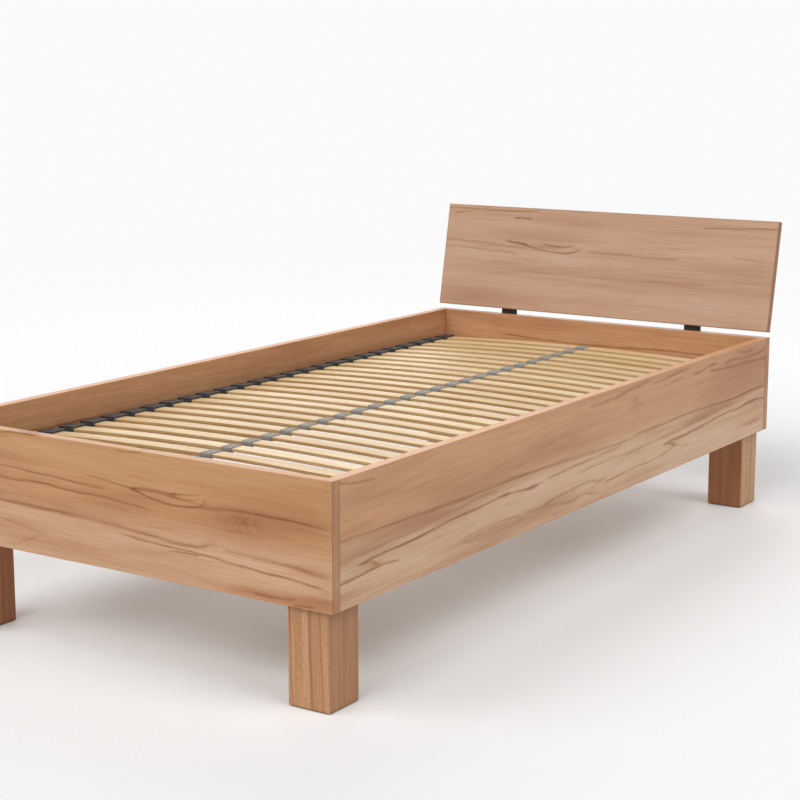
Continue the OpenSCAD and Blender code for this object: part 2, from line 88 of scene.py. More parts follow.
# %% One function for every node
NOISE, MATH, VECTOR = "ShaderNodeTexNoise", "ShaderNodeMath", "ShaderNodeVectorMath"
RAMP, MIX, CURVE = "ShaderNodeValToRGB", "ShaderNodeMix", "ShaderNodeFloatCurve"
RANGE, COORDINATES, SEPARATE = "ShaderNodeMapRange", "ShaderNodeTexCoord", "ShaderNodeSeparateXYZ"
SMOOTH = {"interpolation_type": "SMOOTHSTEP"}


def add(tree, kind, sockets=None, stops=(), points=(), **settings):
    """Adds a node, sets its options, then fills its inputs, named or counted among those in use. A node
    or an output is linked; anything else is a constant. Points fill a curve, and stops a ramp, where a
    plain number stands for a grey."""
    node = tree.nodes.new(kind)
    for name, value in settings.items():
        setattr(node, name, value)
    for n, (position, value) in enumerate(stops):
        elements = node.color_ramp.elements
        element = elements[n] if n < len(elements) else elements.new(1.0)
        element.position, element.color = position, value if isinstance(value, tuple) else grey(value)
    if points:
        curve = node.mapping.curves[0]
        while len(curve.points) < len(points):
            curve.points.new(1.0, 1.0)
        for point, place in zip(curve.points, points):
            point.location = place
        node.mapping.update()
    in_use = [s for s in node.inputs if s.enabled]
    for key, value in (sockets or {}).items():
        socket = in_use[key] if isinstance(key, int) else next(s for s in in_use if s.name == key)
        if isinstance(value, bpy.types.Node):
            value = next(s for s in value.outputs if s.enabled)
        if isinstance(value, bpy.types.NodeSocket):
            tree.links.new(value, socket)
        else:
            socket.default_value = value
    return node


print("kinds of node used most:", NOISE, MATH, VECTOR, RAMP, MIX)

# %% [markdown]
# ## Every finish starts alike
# A new material needs a surface shader that reaches the output, and at the end three things are joined to
# that shader: colour, roughness and small relief. Two short functions keep this out of the recipes.


# %% Every finish starts alike
def finish_named(name):
    """An empty material and its tree, with the surface shader joined to the output."""
    material = bpy.data.materials.new(name)
    material.use_nodes = True
    tree = material.node_tree
    tree.nodes.clear()
    shader = add(tree, "ShaderNodeBsdfPrincipled")
    add(tree, "ShaderNodeOutputMaterial", {"Surface": shader})
    return material, tree, shader


def connect(tree, shader, colour=None, roughness=None, bump=None):
    """Joins what varies over the surface to the shader."""
    for name, value in (("Base Color", colour), ("Roughness", roughness), ("Normal", bump)):
        if value is not None:
            tree.links.new(next(s for s in value.outputs if s.enabled), shader.inputs[name])


def shaded(tree, colour, pattern, stops, tint=warm):
    """A colour darkened by a ramp of a pattern."""
    ramp = add(tree, RAMP, {0: pattern}, stops=[(p, tint(v)) for p, v in stops])
    return add(tree, MIX, {0: 1.0, 1: colour, 2: ramp}, data_type="RGBA", blend_type="MULTIPLY")


print("a shade of one half, warm:", [round(v, 2) for v in warm(0.5)])

# %% [markdown]
# ## Wood has a direction
# A board's pattern is drawn out along the grain, so each board first gets its own coordinates: how far
# along the grain, how far across the face, and how deep. A Mapping node turns the model's x, y and z
# into these. Noise that is stretched along the grain then gives tone, streaks and fibres, each from the
# length and width that such a mark has on real wood.


# %% Wood coordinates
X, Y, Z = Vector((1, 0, 0)), Vector((0, 1, 0)), Vector((0, 0, 1))


def board_place(tree, along, across, corner):
    """Metres along the grain, across the face and into the depth, counted from a corner of the board."""
    turn = Matrix((along, across, along.cross(across)))
    here = add(tree, COORDINATES).outputs["Object"]
    sockets = {"Vector": here, "Location": -(turn @ Vector(corner)), "Rotation": turn.to_euler()}
    return add(tree, "ShaderNodeMapping", sockets, vector_type="POINT")


def streaks(tree, place, long, wide, seed, detail=2.0):
    """Noise whose marks are about so many millimetres long along the grain and so wide across it."""
    scale = (1 / long / MM, 1 / wide / MM, 1 / wide / MM)
    squeezed = add(tree, VECTOR, {0: place, 1: scale}, operation="MULTIPLY")
    sockets = {"Vector": squeezed, "W": seed, "Scale": 1.0, "Detail": detail}
    return add(tree, NOISE, sockets, noise_dimensions="4D")


print("grain of the end boards:", tuple(X), "of the rails:", tuple(Y), "of the legs:", tuple(Z))

# %% [markdown]
# ## Heart lines
# Heart beech comes from old trees whose core has darkened. The edge of the dark core is a thin brown
# line, sharp on one side and fading on the other, that wanders along the board and sometimes closes to
# an eye. Painting the lines on an image would be easy, but then they would blur close up. So each one is
# a curve: for every place along the board, a Float Curve gives the line's height, and a ramp turns the
# distance from it into darkness.


# %% Heart lines
LINE_WIDTH = 2.8  # millimetres; the real line is 1 to 2 wide, and is drawn wider so that it shows
TAPER = 0.05  # the share of the board over which a line comes and goes
BESIDE_LINE = 0.26  # how dark the fading side starts, where the line itself is 1
FADING = [(0.78, 0.07), (1.0, 0.0)]  # and how it goes on


def heart_line(tree, along, across, board, way, strength, shade, width=LINE_WIDTH):
    """Darkness near a line. way: (mm along, mm up) points; shade: mm that it fades over, upwards if
    positive. The ramp runs over twice the shade, with the line itself in its middle."""
    length, height = board[0] / MM, board[1] / MM
    points = [(a / length, h / height) for a, h in way]
    line = add(tree, CURVE, {1: along}, points=points)
    off = add(tree, MATH, {0: across, 1: line}, operation="SUBTRACT")
    scaled = add(tree, MATH, {0: off, 1: height / 2 / shade, 2: 0.5}, operation="MULTIPLY_ADD")
    edge = width / 2 / abs(shade)
    profile = [(0.5 - edge, 0), (0.5 - edge / 3, 1), (0.5 + edge / 3, 1), (0.5 + edge, BESIDE_LINE)]
    dark = add(tree, RAMP, {0: scaled}, stops=profile + FADING)
    first, last = points[0][0], points[-1][0]
    taper = min(TAPER, (last - first) / 14)
    comes = [(0, strength)] if first <= 0 else [(first, 0), (first + taper, strength)]
    goes = [(1, strength)] if last >= 1 else [(last - taper, strength), (last, 0)]
    reach = add(tree, RAMP, {0: along}, stops=comes + goes)
    return add(tree, MATH, {0: dark, 1: reach}, operation="MULTIPLY")


print("a heart line is drawn", LINE_WIDTH, "mm wide")

# %% [markdown]
# ## The marks of beech
# What the eye takes for beech is several marks on top of each other, each with its own length along the
# grain and width across it: a slow change of tone, growth lines that come and go, soft streaks, fibres,
# and short flecks where the wood's rays are cut. They are kept in one table, so that each can be made
# longer or finer by itself.

# %% The marks of beech
# Length and width in millimetres, what is added to the board's seed, and the detail of the noise.
MARKS = {
    "tone": (700, 60, 0.0, 3.0),
    "waver": (70, 12, 3.1, 4.0),  # how lines and tones stray up and down
    "drift": (1300, 60, 7.7, 2.0),  # how growth lines bend
    "coming": (380, 45, 1.3, 1.0),  # where growth lines show
    "uneven": (130, 12, 4.4, 3.0),  # where dark lines are weaker
    "streak": (160, 12, 5.9, 4.0),
    "fine": (120, 4, 6.6, 3.0),
    "fibre": (60, 2.4, 2.4, 3.0),  # real fibres are finer, and these show
    "fleck": (7, 2.2, 8.2, 1.0),
    "stray": (60, 24, 9.3, 3.0),  # how fibres stray round a branch
}
# For the marks that cross the whole board: the noise at which each is clear and at which it is darkest,
# and how dark that is.
ALL_OVER = [
    ("streak", 0.65, 0.35, 0.08),
    ("fine", 0.5, 0.36, 0.1),
    ("fibre", 0.65, 0.35, 0.08),
    ("fleck", 0.6, 0.72, 0.14),
]


def mark(tree, place, name, seed):
    """The noise of one mark."""
    long, wide, own, detail = MARKS[name]
    return streaks(tree, place, long, wide, seed + own, detail)


def fibred(tree, colour, grain, seed, strength):
    """A colour with the marks that cross the whole board, each a ramp of its noise."""
    for name, clear, darkest, dark in ALL_OVER:
        stops = sorted([(clear, 1.0), (darkest, 1 - dark * strength)])
        colour = shaded(tree, colour, mark(tree, grain, name, seed), stops)
    return colour


print("marks:", {name: f"{long} x {wide} mm" for name, (long, wide, *_) in MARKS.items()})

# %% [markdown]
# ## Spots and grown-in branches
# Darker and redder places on a board are long ovals. An oval is a Mapping node that shrinks it to a
# circle of radius 1, and a gradient that falls from the middle to the rim. Over a grown-in branch the
# fibres run in bows across such an oval: a sine of the way along it, shifted by the square of the height.


# %% Spots and grown-in branches
ARCS, BOW, STRAY = 40.0, 9.0, 44.0  # radians: along half a knot, over its height, and by chance


def oval(tree, place, along, up, half_long, half_high):
    """Coordinates whose length is 0 at a point of the board and 1 on an ellipse round it, sizes in mm."""
    middle, size = (along * MM, up * MM, 0), (half_long * MM, half_high * MM, 1)
    sockets = {"Vector": place, "Location": middle, "Scale": size}
    return add(tree, "ShaderNodeMapping", sockets, vector_type="TEXTURE")


def soft_oval(tree, place, *where):
    """1 in the middle of an oval, falling to 0 at its rim along a smooth bell."""
    spot = oval(tree, place, *where)
    return add(tree, "ShaderNodeTexGradient", {0: spot}, gradient_type="QUADRATIC_SPHERE")


def swirl(tree, colour, place, seed, where, strength):
    """Fibres that bend round a branch: a sine of the way along, bowed by the square of the height."""
    spot = add(tree, SEPARATE, {0: oval(tree, place, *where)})
    stray = add(tree, MATH, {0: mark(tree, place, "stray", seed), 1: STRAY}, operation="MULTIPLY")
    phase = add(tree, MATH, {0: spot.outputs[0], 1: ARCS, 2: stray}, operation="MULTIPLY_ADD")
    square = add(tree, MATH, {0: spot.outputs[1], 1: spot.outputs[1]}, operation="MULTIPLY")
    phase = add(tree, MATH, {0: square, 1: BOW, 2: phase}, operation="MULTIPLY_ADD")
    wave = add(tree, MATH, {0: phase}, operation="SINE")
    wave = add(tree, MATH, {0: wave, 1: 0.5, 2: 0.5}, operation="MULTIPLY_ADD")
    wave = add(tree, MATH, {0: wave, 1: soft_oval(tree, place, *where)}, operation="MULTIPLY")
    return shaded(tree, colour, wave, [(0.0, 1.0), (0.6, 1 - strength)])


print("waves over a branch's whole width:", round(2 * ARCS / (2 * math.pi)))

# %% [markdown]
# ## Ends and edges
# The narrow ends of a cross panel show the wood cut across: darker, because oil soaks in deeper, and
# with fine upright lines. The surface normal tells where such an end is. Along its two long edges runs a
# fine dark line: partly the real dark joint line, partly painted shade where the rounded edge and the joint
# to the next part lie in shade.


# %% Ends and edges
PANEL_THICK = 25 * MM
EDGE_LINE_AND_SHADE = 3.4 * MM  # the dark line along an edge, partly real and partly painted shade, is about 1 mm wide, and is drawn wider so that it shows
END_LINE_AND_SHADE, RIM_LINE_AND_SHADE = 0.72, 0.8  # the darkness in that line on an end, and round a face: partly real, partly painted shade
END_LINES = (9.0, 9.0, 700.0)  # marks per metre along, up and into the depth of an end
END_SHARE = 0.55  # how much of the end's own tone is mixed in
IS_END = {"From Min": 0.6, "From Max": 0.8}  # how squarely a place faces sideways, from side to end


def edge_lines_and_shade(tree, colour, way, first, last, dark):
    """A colour darkened near both ends of a stretch, in metres, by a ramp over the stretch: a dark line,
    partly a real joint line and partly painted shade.
    """
    share = add(tree, RANGE, {"Value": way, "From Min": first, "From Max": last})
    reach = EDGE_LINE_AND_SHADE / abs(last - first)
    near = [(0.0, dark), (reach / 2, dark), (reach, 1.0)]
    return shaded(tree, colour, share, near + [(1 - p, v) for p, v in reversed(near)])


def end_grain(tree, colour, place, seed, end_tone, thick):
    """The same colour where the wood is seen from the side, and a darker, upright one at its ends."""
    sideways = add(tree, SEPARATE, {0: add(tree, COORDINATES).outputs["Normal"]})
    facing = add(tree, MATH, {0: sideways.outputs["X"]}, operation="ABSOLUTE")
    facing = add(tree, RANGE, {"Value": facing, **IS_END})
    upright = add(tree, VECTOR, {0: place, 1: END_LINES}, operation="MULTIPLY")
    upright = add(tree, NOISE, {"Vector": upright, "W": seed, "Scale": 1.0}, noise_dimensions="4D")
    end = add(tree, MIX, {0: END_SHARE, 1: colour, 2: end_tone}, data_type="RGBA")
    end = shaded(tree, end, upright, [(0.35, 0.86), (0.6, 1.0)])
    depth = add(tree, SEPARATE, {0: place}).outputs[2]
    # fine dark lines along both long edges of an end: partly real, partly painted shade of rounded edges and
    # joints
    end = edge_lines_and_shade(tree, end, depth, 0.0, -thick, END_LINE_AND_SHADE)
    return add(tree, MIX, {0: facing, 1: colour, 2: end}, data_type="RGBA")


print("a panel's end is", round(PANEL_THICK / MM), "mm wide")

# %% [markdown]
# ## Tone and darkness of a board
# Now the marks are put together in two steps. The first gives the clean wood its colour: a light tone, a
# second one near the lower edge, and a blush that comes and goes. The second adds up everything dark:
# growth lines, heart lines and blots.


# %% Tone and darkness of a board
RINGS_PER_METRE = 30.0
RING_BEND = 3.0  # how many rings the drift moves a growth line
RING_PROFILE = [(0.0, 0.3), (0.05, 0.2), (0.4, 0.0), (0.96, 0.0), (1.0, 0.3)]  # darkness over one ring
DARKENING = [(0.0, 1.0), (0.3, 0.88), (1.0, 0.49)]  # from darkness to shade
BLUSH = {"From Min": 0.34, "From Max": 0.85}  # the noise at which the blush starts and is full
COMING = {"From Min": 0.45, "From Max": 0.7}  # and that at which growth lines start and are full
WEAKENED = {"From Min": 0.3, "From Max": 0.6, "To Min": 0.5}  # dark lines, from half to full strength


def board_tone(tree, grain, wavy, share_up, tones, pale, patches, seed):
    """The clean wood: its tone by height, and its blush by slow noise to which the patches are added."""
    tone = mark(tree, grain, "tone", seed)
    for *where, strength in patches:
        spot = soft_oval(tree, wavy, *where)
        tone = add(tree, MATH, {0: spot, 1: strength, 2: tone}, operation="MULTIPLY_ADD")
    from_pale = {"From Min": pale[0], "From Max": pale[1]}
    lowness = add(tree, RANGE, {"Value": share_up, **from_pale}, **SMOOTH)
    colour = add(tree, MIX, {0: lowness, 1: tones[0], 2: tones[1]}, data_type="RGBA")
    warmth = add(tree, RANGE, {"Value": tone, **BLUSH}, **SMOOTH)
    return add(tree, MIX, {0: warmth, 1: colour, 2: tones[2]}, data_type="RGBA")


def growth_lines(tree, grain, up, seed):
    """Darkness of the growth lines: the fraction of a drifting height, shown here and there."""
    drift = add(tree, MATH, {0: mark(tree, grain, "drift", seed), 1: RING_BEND}, operation="MULTIPLY")
    level = add(tree, MATH, {0: up, 1: RINGS_PER_METRE, 2: drift}, operation="MULTIPLY_ADD")
    beyond = add(tree, MATH, {0: level}, operation="FRACT")
    ring = add(tree, RAMP, {0: beyond}, stops=RING_PROFILE)
    coming = add(tree, RANGE, {"Value": mark(tree, grain, "coming", seed), **COMING}, **SMOOTH)
    return add(tree, MATH, {0: ring, 1: coming}, operation="MULTIPLY")


def with_lines(tree, dark, grain, wavy, shares, board, lines, blots, seed):
    """Darkness with the heart lines as a maximum, made uneven, and the blots added on top."""
    for way, strength, shade, *width in lines:
        line = heart_line(tree, *shares, board, way, strength, shade, *width)
        dark = add(tree, MATH, {0: dark, 1: line}, operation="MAXIMUM")
    uneven = add(tree, RANGE, {"Value": mark(tree, grain, "uneven", seed), **WEAKENED})
    dark = add(tree, MATH, {0: dark, 1: uneven}, operation="MULTIPLY")
    for *where, strength in blots:
        blot = add(tree, MATH, {0: soft_oval(tree, wavy, *where), 1: strength}, operation="MULTIPLY")
        dark = add(tree, MATH, {0: dark, 1: blot}, operation="ADD", use_clamp=True)
    return dark


print("growth lines every", round(1 / RINGS_PER_METRE / MM), "mm")

# %% [markdown]
# ## Heart beech
# The boards are glued from long staves, planed, sanded along the grain and oiled. The oil gives a warm,
# satin surface: mid roughness and no clear coat. A light relief follows the fibres and sinks a little
# where a dark line runs. Both end panels, the rails and the headboard use this one recipe.


# %% Heart beech
STRAY_UP = 9 * MM  # how far a line strays from its way, from lowest to highest
WOOD_IOR = 1.47
SATIN = {"To Min": 0.42, "To Max": 0.58}  # roughness of oiled beech
RELIEF = {"Strength": 0.3, "Distance": 0.5 * MM}
GROOVE = -0.4  # how deep a dark line lies, where the height of a fibre is 1


def heart_beech(
    name, along, across, corner, board, tones, seed, lines=(), patches=(), blots=(), knots=(),
    end_tone=None, lean=0.0, fibres=1.0, pale=(0.55, 0.3), thick=PANEL_THICK, rim=None,
):
    """The oiled wood of one board. tones: light, low and blush, where low is the light tone near the
    board's lower edge. lines: (way, strength, shade, width). patches and blots: ovals (mm along, mm up,
    half length, half height, strength), blushed softly or dark as a line. knots: ovals in which the
    fibres swirl. lean: the grain's slope in degrees. fibres: how strongly they show. pale: the shares of
    the height at which the low tone starts and is full. rim: the heights of both long edges, where they
    get a dark line, partly real and partly painted shade."""
    material, tree, shader = finish_named(name)
    place = board_place(tree, along, across, corner)
    parts = add(tree, SEPARATE, {0: place})
    turned = {"Vector": place, "Rotation": (0, 0, -math.radians(lean))}
    grain = add(tree, "ShaderNodeMapping", turned, vector_type="POINT")
    sockets = {0: mark(tree, grain, "waver", seed), 1: STRAY_UP, 2: parts.outputs[1]}
    up = add(tree, MATH, sockets, operation="MULTIPLY_ADD")
    up = add(tree, MATH, {0: up, 1: STRAY_UP / 2}, operation="SUBTRACT")
    wavy = add(tree, "ShaderNodeCombineXYZ", {0: parts.outputs[0], 1: up})
    share_along = add(tree, MATH, {0: parts.outputs[0], 1: 1 / board[0]}, operation="MULTIPLY")
    share_up = add(tree, MATH, {0: up, 1: 1 / board[1]}, operation="MULTIPLY")
    shares = (share_along, share_up)

    colour = board_tone(tree, grain, wavy, share_up, tones, pale, patches, seed)
    dark = growth_lines(tree, grain, up, seed)
    dark = with_lines(tree, dark, grain, wavy, shares, board, lines, blots, seed)
    colour = shaded(tree, colour, dark, DARKENING)
    colour = fibred(tree, colour, grain, seed, fibres)
    for *where, strength in knots:
        colour = swirl(tree, colour, wavy, seed, where, strength)
    # a dark line round all four edges of the face: partly real, partly painted shade
    if rim:
        colour = edge_lines_and_shade(tree, colour, parts.outputs[1], *rim, RIM_LINE_AND_SHADE)
        colour = edge_lines_and_shade(tree, colour, parts.outputs[0], 0.0, board[0], RIM_LINE_AND_SHADE)
    if end_tone:
        colour = end_grain(tree, colour, place, seed, end_tone, thick)

    fibre = mark(tree, grain, "fibre", seed)
    relief = add(tree, MATH, {0: dark, 1: GROOVE, 2: fibre}, operation="MULTIPLY_ADD")
    bump = add(tree, "ShaderNodeBump", {**RELIEF, "Height": relief})
    connect(tree, shader, colour, add(tree, RANGE, {"Value": fibre, **SATIN}), bump)
    shader.inputs["IOR"].default_value = WOOD_IOR
    return material


print("oiled beech:", SATIN, RELIEF)

# %% [markdown]
# ## Dressing a solid
# The solids come bare. `dress` gives a finish to every solid whose name starts with one of some words,
# and keeps count, so that in the end nothing is left bare.

# %% Dressing a solid
dressed = set()


def dress(material, *words):
    """Gives a finish to the solids whose names start with these words."""
    for name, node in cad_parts.items():
        if name.startswith(words):
            node.data.materials.clear()
            node.data.materials.append(material)
            dressed.add(name)


print("solids to dress:", len(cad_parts))

# %% [markdown]
# ## The foot panel
# The board that is seen best. Its upper part is calm; below it run two fine lines that fade towards the
# middle, a long closed eye, and two longer lines that fall to the right. The right third is darker, with
# the swirl of a grown-in branch, and the lower part is lighter and pinker. Lines and ovals are counted in
# millimetres from the board's lower left corner, as seen from outside, so they can be read off like
# measurements on a real board. On the rails they are counted from the foot end.

# %% The foot panel
FOOT_TONES = [linear(c) for c in ("#C5976C", "#CCA687", "#AC774E")]
low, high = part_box("foot_panel")
foot_size = (high.x - low.x, high.z - low.z)
# Each line is its way, as millimetres along and up, then its strength, the millimetres over which it
# fades, upwards if positive, and its width where that isn't the usual one.
foot_lines = [
    ([(0, 188), (200, 181), (260, 179), (300, 176), (360, 175), (430, 171), (520, 167)], 0.75, 9),
    ([(0, 160), (200, 157), (245, 154), (300, 157), (400, 152), (470, 151), (550, 147),
      (640, 140)], 0.8, 10),
    ([(0, 108), (250, 104), (430, 99), (560, 92), (640, 86), (700, 82), (750, 84), (779, 91),
      (808, 84)], 0.8, 16, 5),
    ([(800, 84), (870, 86), (940, 81), (985, 79), (1030, 73), (1070, 67)], 0.6, 18, 6),
    ([(530, 81), (580, 78), (660, 73), (750, 70), (850, 61), (900, 58), (950, 56), (1010, 51),
      (1070, 44)], 0.85, -7),
    ([(740, 163), (780, 166), (830, 169), (900, 170), (1000, 168), (1070, 162)], 0.8, 30, 3.5),
    ([(562, 180), (590, 174), (640, 163), (700, 159), (735, 161), (756, 168), (772, 177)], 1.0, 6),
    ([(440, 189), (500, 187), (560, 181), (600, 180), (650, 180), (690, 176), (730, 174),
      (750, 181)], 0.85, 5),
    ([(560, 180), (620, 184), (670, 182), (700, 184), (740, 186), (756, 190)], 0.7, 5),
    ([(535, 253), (575, 254), (605, 258)], 0.8, 5, 4),
    ([(0, 240), (150, 246), (200, 250), (230, 255), (330, 262)], 1.0, 6, 4),
    ([(665, 63), (700, 65), (750, 66)], 0.9, 5),
    ([(880, 11), (940, 13), (985, 17)], 0.7, -8, 4),
    ([(975, 2), (1000, 5), (1030, 8)], 0.6, -5, 4),
    ([(210, 62), (260, 60), (310, 50), (330, 52)], 0.35, 8, 5),
    ([(200, 30), (235, 14), (260, 22), (300, 38), (340, 52)], 0.3, 8, 5),
]
# Each oval is its middle, half its length and half its height in millimetres, and its strength.
foot_patches = [
    (880, 165, 230, 60, 0.35),
    (980, 165, 260, 80, 0.32),
    (1000, 75, 120, 26, 0.25),
    (600, 165, 170, 26, 0.14),
    (320, 140, 300, 36, -0.2),
    (1040, 20, 140, 30, 0.22),
    (880, 12, 200, 16, 0.25),
    (450, 45, 220, 40, -0.15),
    (830, 40, 240, 28, -0.08),
]
foot_blots = [
    (580, 177, 22, 8, 0.8),
    (684, 180, 22, 7, 0.7),
    (764, 176, 14, 6, 0.6),
    (850, 156, 80, 16, 0.3),
    (880, 188, 60, 10, 0.2),
    (850, 61, 60, 4, 0.25),
    (850, 128, 70, 9, 0.35),
    (780, 103, 14, 5, 0.25),
    (755, 210, 30, 14, 0.12),
    (1050, 38, 26, 9, 0.4),
    (700, 12, 8, 4, 0.3),
    (645, 12, 12, 4, 0.2),
]
foot_knots = [
    (860, 146, 120, 46, 0.16),
    (780, 96, 40, 24, 0.1),
    (450, 36, 130, 30, 0.05),
    (255, 26, 70, 34, 0.08),
]
drawn = (foot_lines, foot_patches, foot_blots, foot_knots)
looks = {"end_tone": linear("#B0835F"), "lean": -1.3, "fibres": 0.8}
foot_beech = heart_beech("oiled_heart_beech_foot", X, Z, low, foot_size, FOOT_TONES, 1.7, *drawn, **looks)
dress(foot_beech, "foot_panel")
print("foot panel:", [round(v, 3) for v in foot_size])

# %% [markdown]
# ## The right side rail
# A reddish stripe runs along its middle from end to end, with a fine line below it and two small dark
# flames where branches grew.

# %% The right side rail
SIDE_TONES = [linear(c) for c in ("#CF9F78", "#D9B799", "#B37F5A")]
low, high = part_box("side_rail_right")
side_size = (high.y - low.y, high.z - low.z)
right_lines = [
    ([(0, 136), (200, 134), (400, 131), (600, 132), (800, 130), (950, 125), (1100, 122),
      (1260, 120)], 0.6, -18, 5),
    ([(1190, 119), (1240, 126), (1350, 127), (1500, 130), (1700, 127), (1820, 125), (1920, 127),
      (2020, 127)], 0.75, -18, 4),
    ([(0, 97), (60, 97), (150, 99), (250, 103), (350, 110), (480, 118), (600, 121)], 0.4, 24, 4),
    ([(50, 78), (120, 82), (260, 86), (430, 97), (520, 98), (610, 104), (640, 102), (720, 97),
      (790, 103)], 1.0, -9, 3.5),
    ([(780, 103), (850, 106), (950, 108), (1050, 110), (1110, 111), (1170, 117)], 0.7, -8, 3.5),
    ([(0, 53), (60, 55), (110, 58), (150, 59), (205, 55)], 0.8, 7, 3.5),
    ([(55, 78), (90, 75), (112, 70), (128, 61)], 0.7, -7, 6),
    ([(1385, 73), (1415, 70), (1438, 65), (1454, 56)], 0.7, -7, 6),
    ([(430, 40), (480, 47), (560, 50), (640, 46), (690, 38)], 0.45, -8, 4),
    ([(425, 42), (460, 33), (560, 29), (640, 31), (720, 36)], 0.4, 8, 4),
    ([(755, 41), (830, 50), (900, 54), (980, 58), (1010, 55), (1040, 49), (1085, 47)], 0.65, -8, 4),
    ([(690, 41), (760, 40), (830, 36), (880, 29), (920, 28), (960, 33), (1000, 26),
      (1050, 21)], 0.5, 8, 4),
    ([(985, 28), (1005, 37), (1050, 45), (1085, 48)], 0.5, 6, 4),
    ([(820, 12), (870, 14), (920, 20)], 0.45, 6, 4),
    ([(1060, 38), (1140, 43), (1220, 45), (1350, 46), (1400, 50), (1450, 57)], 0.75, -8, 3.5),
    ([(1390, 74), (1450, 76), (1520, 78), (1600, 82), (1700, 89), (1780, 92), (1850, 91),
      (1940, 98), (2020, 91)], 0.95, -9, 3.5),
    ([(1430, 62), (1470, 56), (1500, 52), (1535, 50)], 0.6, 6, 4),
    ([(920, 86), (1100, 90), (1200, 88), (1350, 92), (1500, 97), (1600, 101), (1680, 105),
      (1740, 111), (1850, 113)], 0.55, 18, 5),
    ([(980, 232), (1100, 234), (1200, 242), (1310, 248)], 0.6, 9, 5),
    ([(1310, 237), (1380, 240), (1450, 244), (1530, 248)], 0.7, 9, 4),
    ([(1370, 222), (1430, 225), (1490, 227)], 0.45, 8, 5),
    ([(1540, 229), (1600, 227), (1640, 234), (1700, 236)], 0.65, 8, 5),
    ([(1640, 221), (1700, 217), (1760, 214), (1850, 210), (1950, 207), (2020, 203)], 0.7, 12, 6),
    ([(1740, 225), (1800, 230), (1850, 227), (1900, 224), (1960, 225), (2020, 230)], 0.7, 10, 6),
    ([(1820, 250), (1870, 241), (1930, 238)], 0.6, 8, 5),
    ([(0, 250), (60, 240), (120, 236)], 0.7, 8, 4),
    ([(80, 6), (150, 9), (320, 12), (480, 10)], 0.3, 7, 4),
]
right_patches = [
    (1860, 200, 480, 110, 0.35),
    (200, 40, 420, 60, -0.3),
    (1930, 38, 150, 16, 0.35),
    (560, 40, 150, 12, 0.2),
    (300, 115, 420, 20, 0.2),
    (1600, 110, 420, 22, 0.25),
    (500, 190, 500, 60, -0.15),
]
right_blots = [
    (118, 66, 40, 14, 0.6),
    (1444, 62, 40, 14, 0.6),
    (85, 77, 44, 7, 0.6),
    (1410, 72, 44, 7, 0.6),
    (612, 102, 40, 7, 0.7),
    (615, 83, 30, 6, 0.4),
    (728, 98, 30, 8, 0.9),
    (1580, 228, 40, 7, 0.6),
    (1665, 236, 24, 6, 0.5),
    (1925, 94, 90, 9, 0.7),
    (1955, 78, 32, 6, 0.5),
    (1222, 215, 44, 12, 0.4),
    (700, 131, 220, 9, 0.35),
    (1900, 126, 170, 10, 0.3),
]
right_knots = [
    (480, 40, 110, 18, 0.1),
    (860, 40, 110, 18, 0.1),
    (1235, 200, 70, 32, 0.16),
    (100, 60, 60, 16, 0.1),
]
drawn = (right_lines, right_patches, right_blots, right_knots)
looks = {"lean": 0.9, "fibres": 0.75, "pale": (0.6, 0.42)}
right_beech = heart_beech("oiled_heart_beech_right", Y, Z, low, side_size, SIDE_TONES, 4.2, *drawn, **looks)
dress(right_beech, "side_rail_right")
print("side rail:", [round(v, 3) for v in side_size])

# %% [markdown]
# ## The left side rail and the head panel
# They are cut from other boards, and no two boards are alike, so each gets its own seed and a few heart
# lines of its own. The head panel shows its ends like the foot panel.

# %% The left side rail
left_lines = [
    ([(0, 190), (400, 182), (900, 170), (1400, 172), (2020, 160)], 0.8, 14, 4),
    ([(500, 60), (900, 72), (1300, 66), (1700, 84), (2020, 88)], 0.9, -9),
    ([(0, 96), (250, 92), (520, 70), (760, 52)], 0.7, 10),
]
left_blots = [(512, 66, 30, 9, 0.5), (1320, 70, 40, 7, 0.4)]
low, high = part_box("side_rail_left")
drawn = (left_lines, (), left_blots)
left_beech = heart_beech("oiled_heart_beech_left", Y, Z, low, side_size, SIDE_TONES, 11.4, *drawn, lean=-0.7)
dress(left_beech, "side_rail_left")
print("lines on the left rail:", len(left_lines))

# %% The head panel
low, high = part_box("head_panel")
end_lines = [
    ([(0, 90), (300, 96), (640, 84), (1070, 76)], 0.8, 9),
    ([(200, 200), (520, 190), (800, 196), (1070, 180)], 0.7, -12, 4),
    ([(420, 128), (520, 118), (640, 120), (760, 132)], 0.6, 10),
]
looks = {"blots": [(640, 86, 34, 8, 0.4)], "end_tone": linear("#A9764F"), "lean": -0.8}
end_beech = heart_beech("oiled_heart_beech_end", X, Z, low, foot_size, SIDE_TONES, 17.9, end_lines, **looks)
dress(end_beech, "head_panel")
print("lines on the head panel:", len(end_lines))
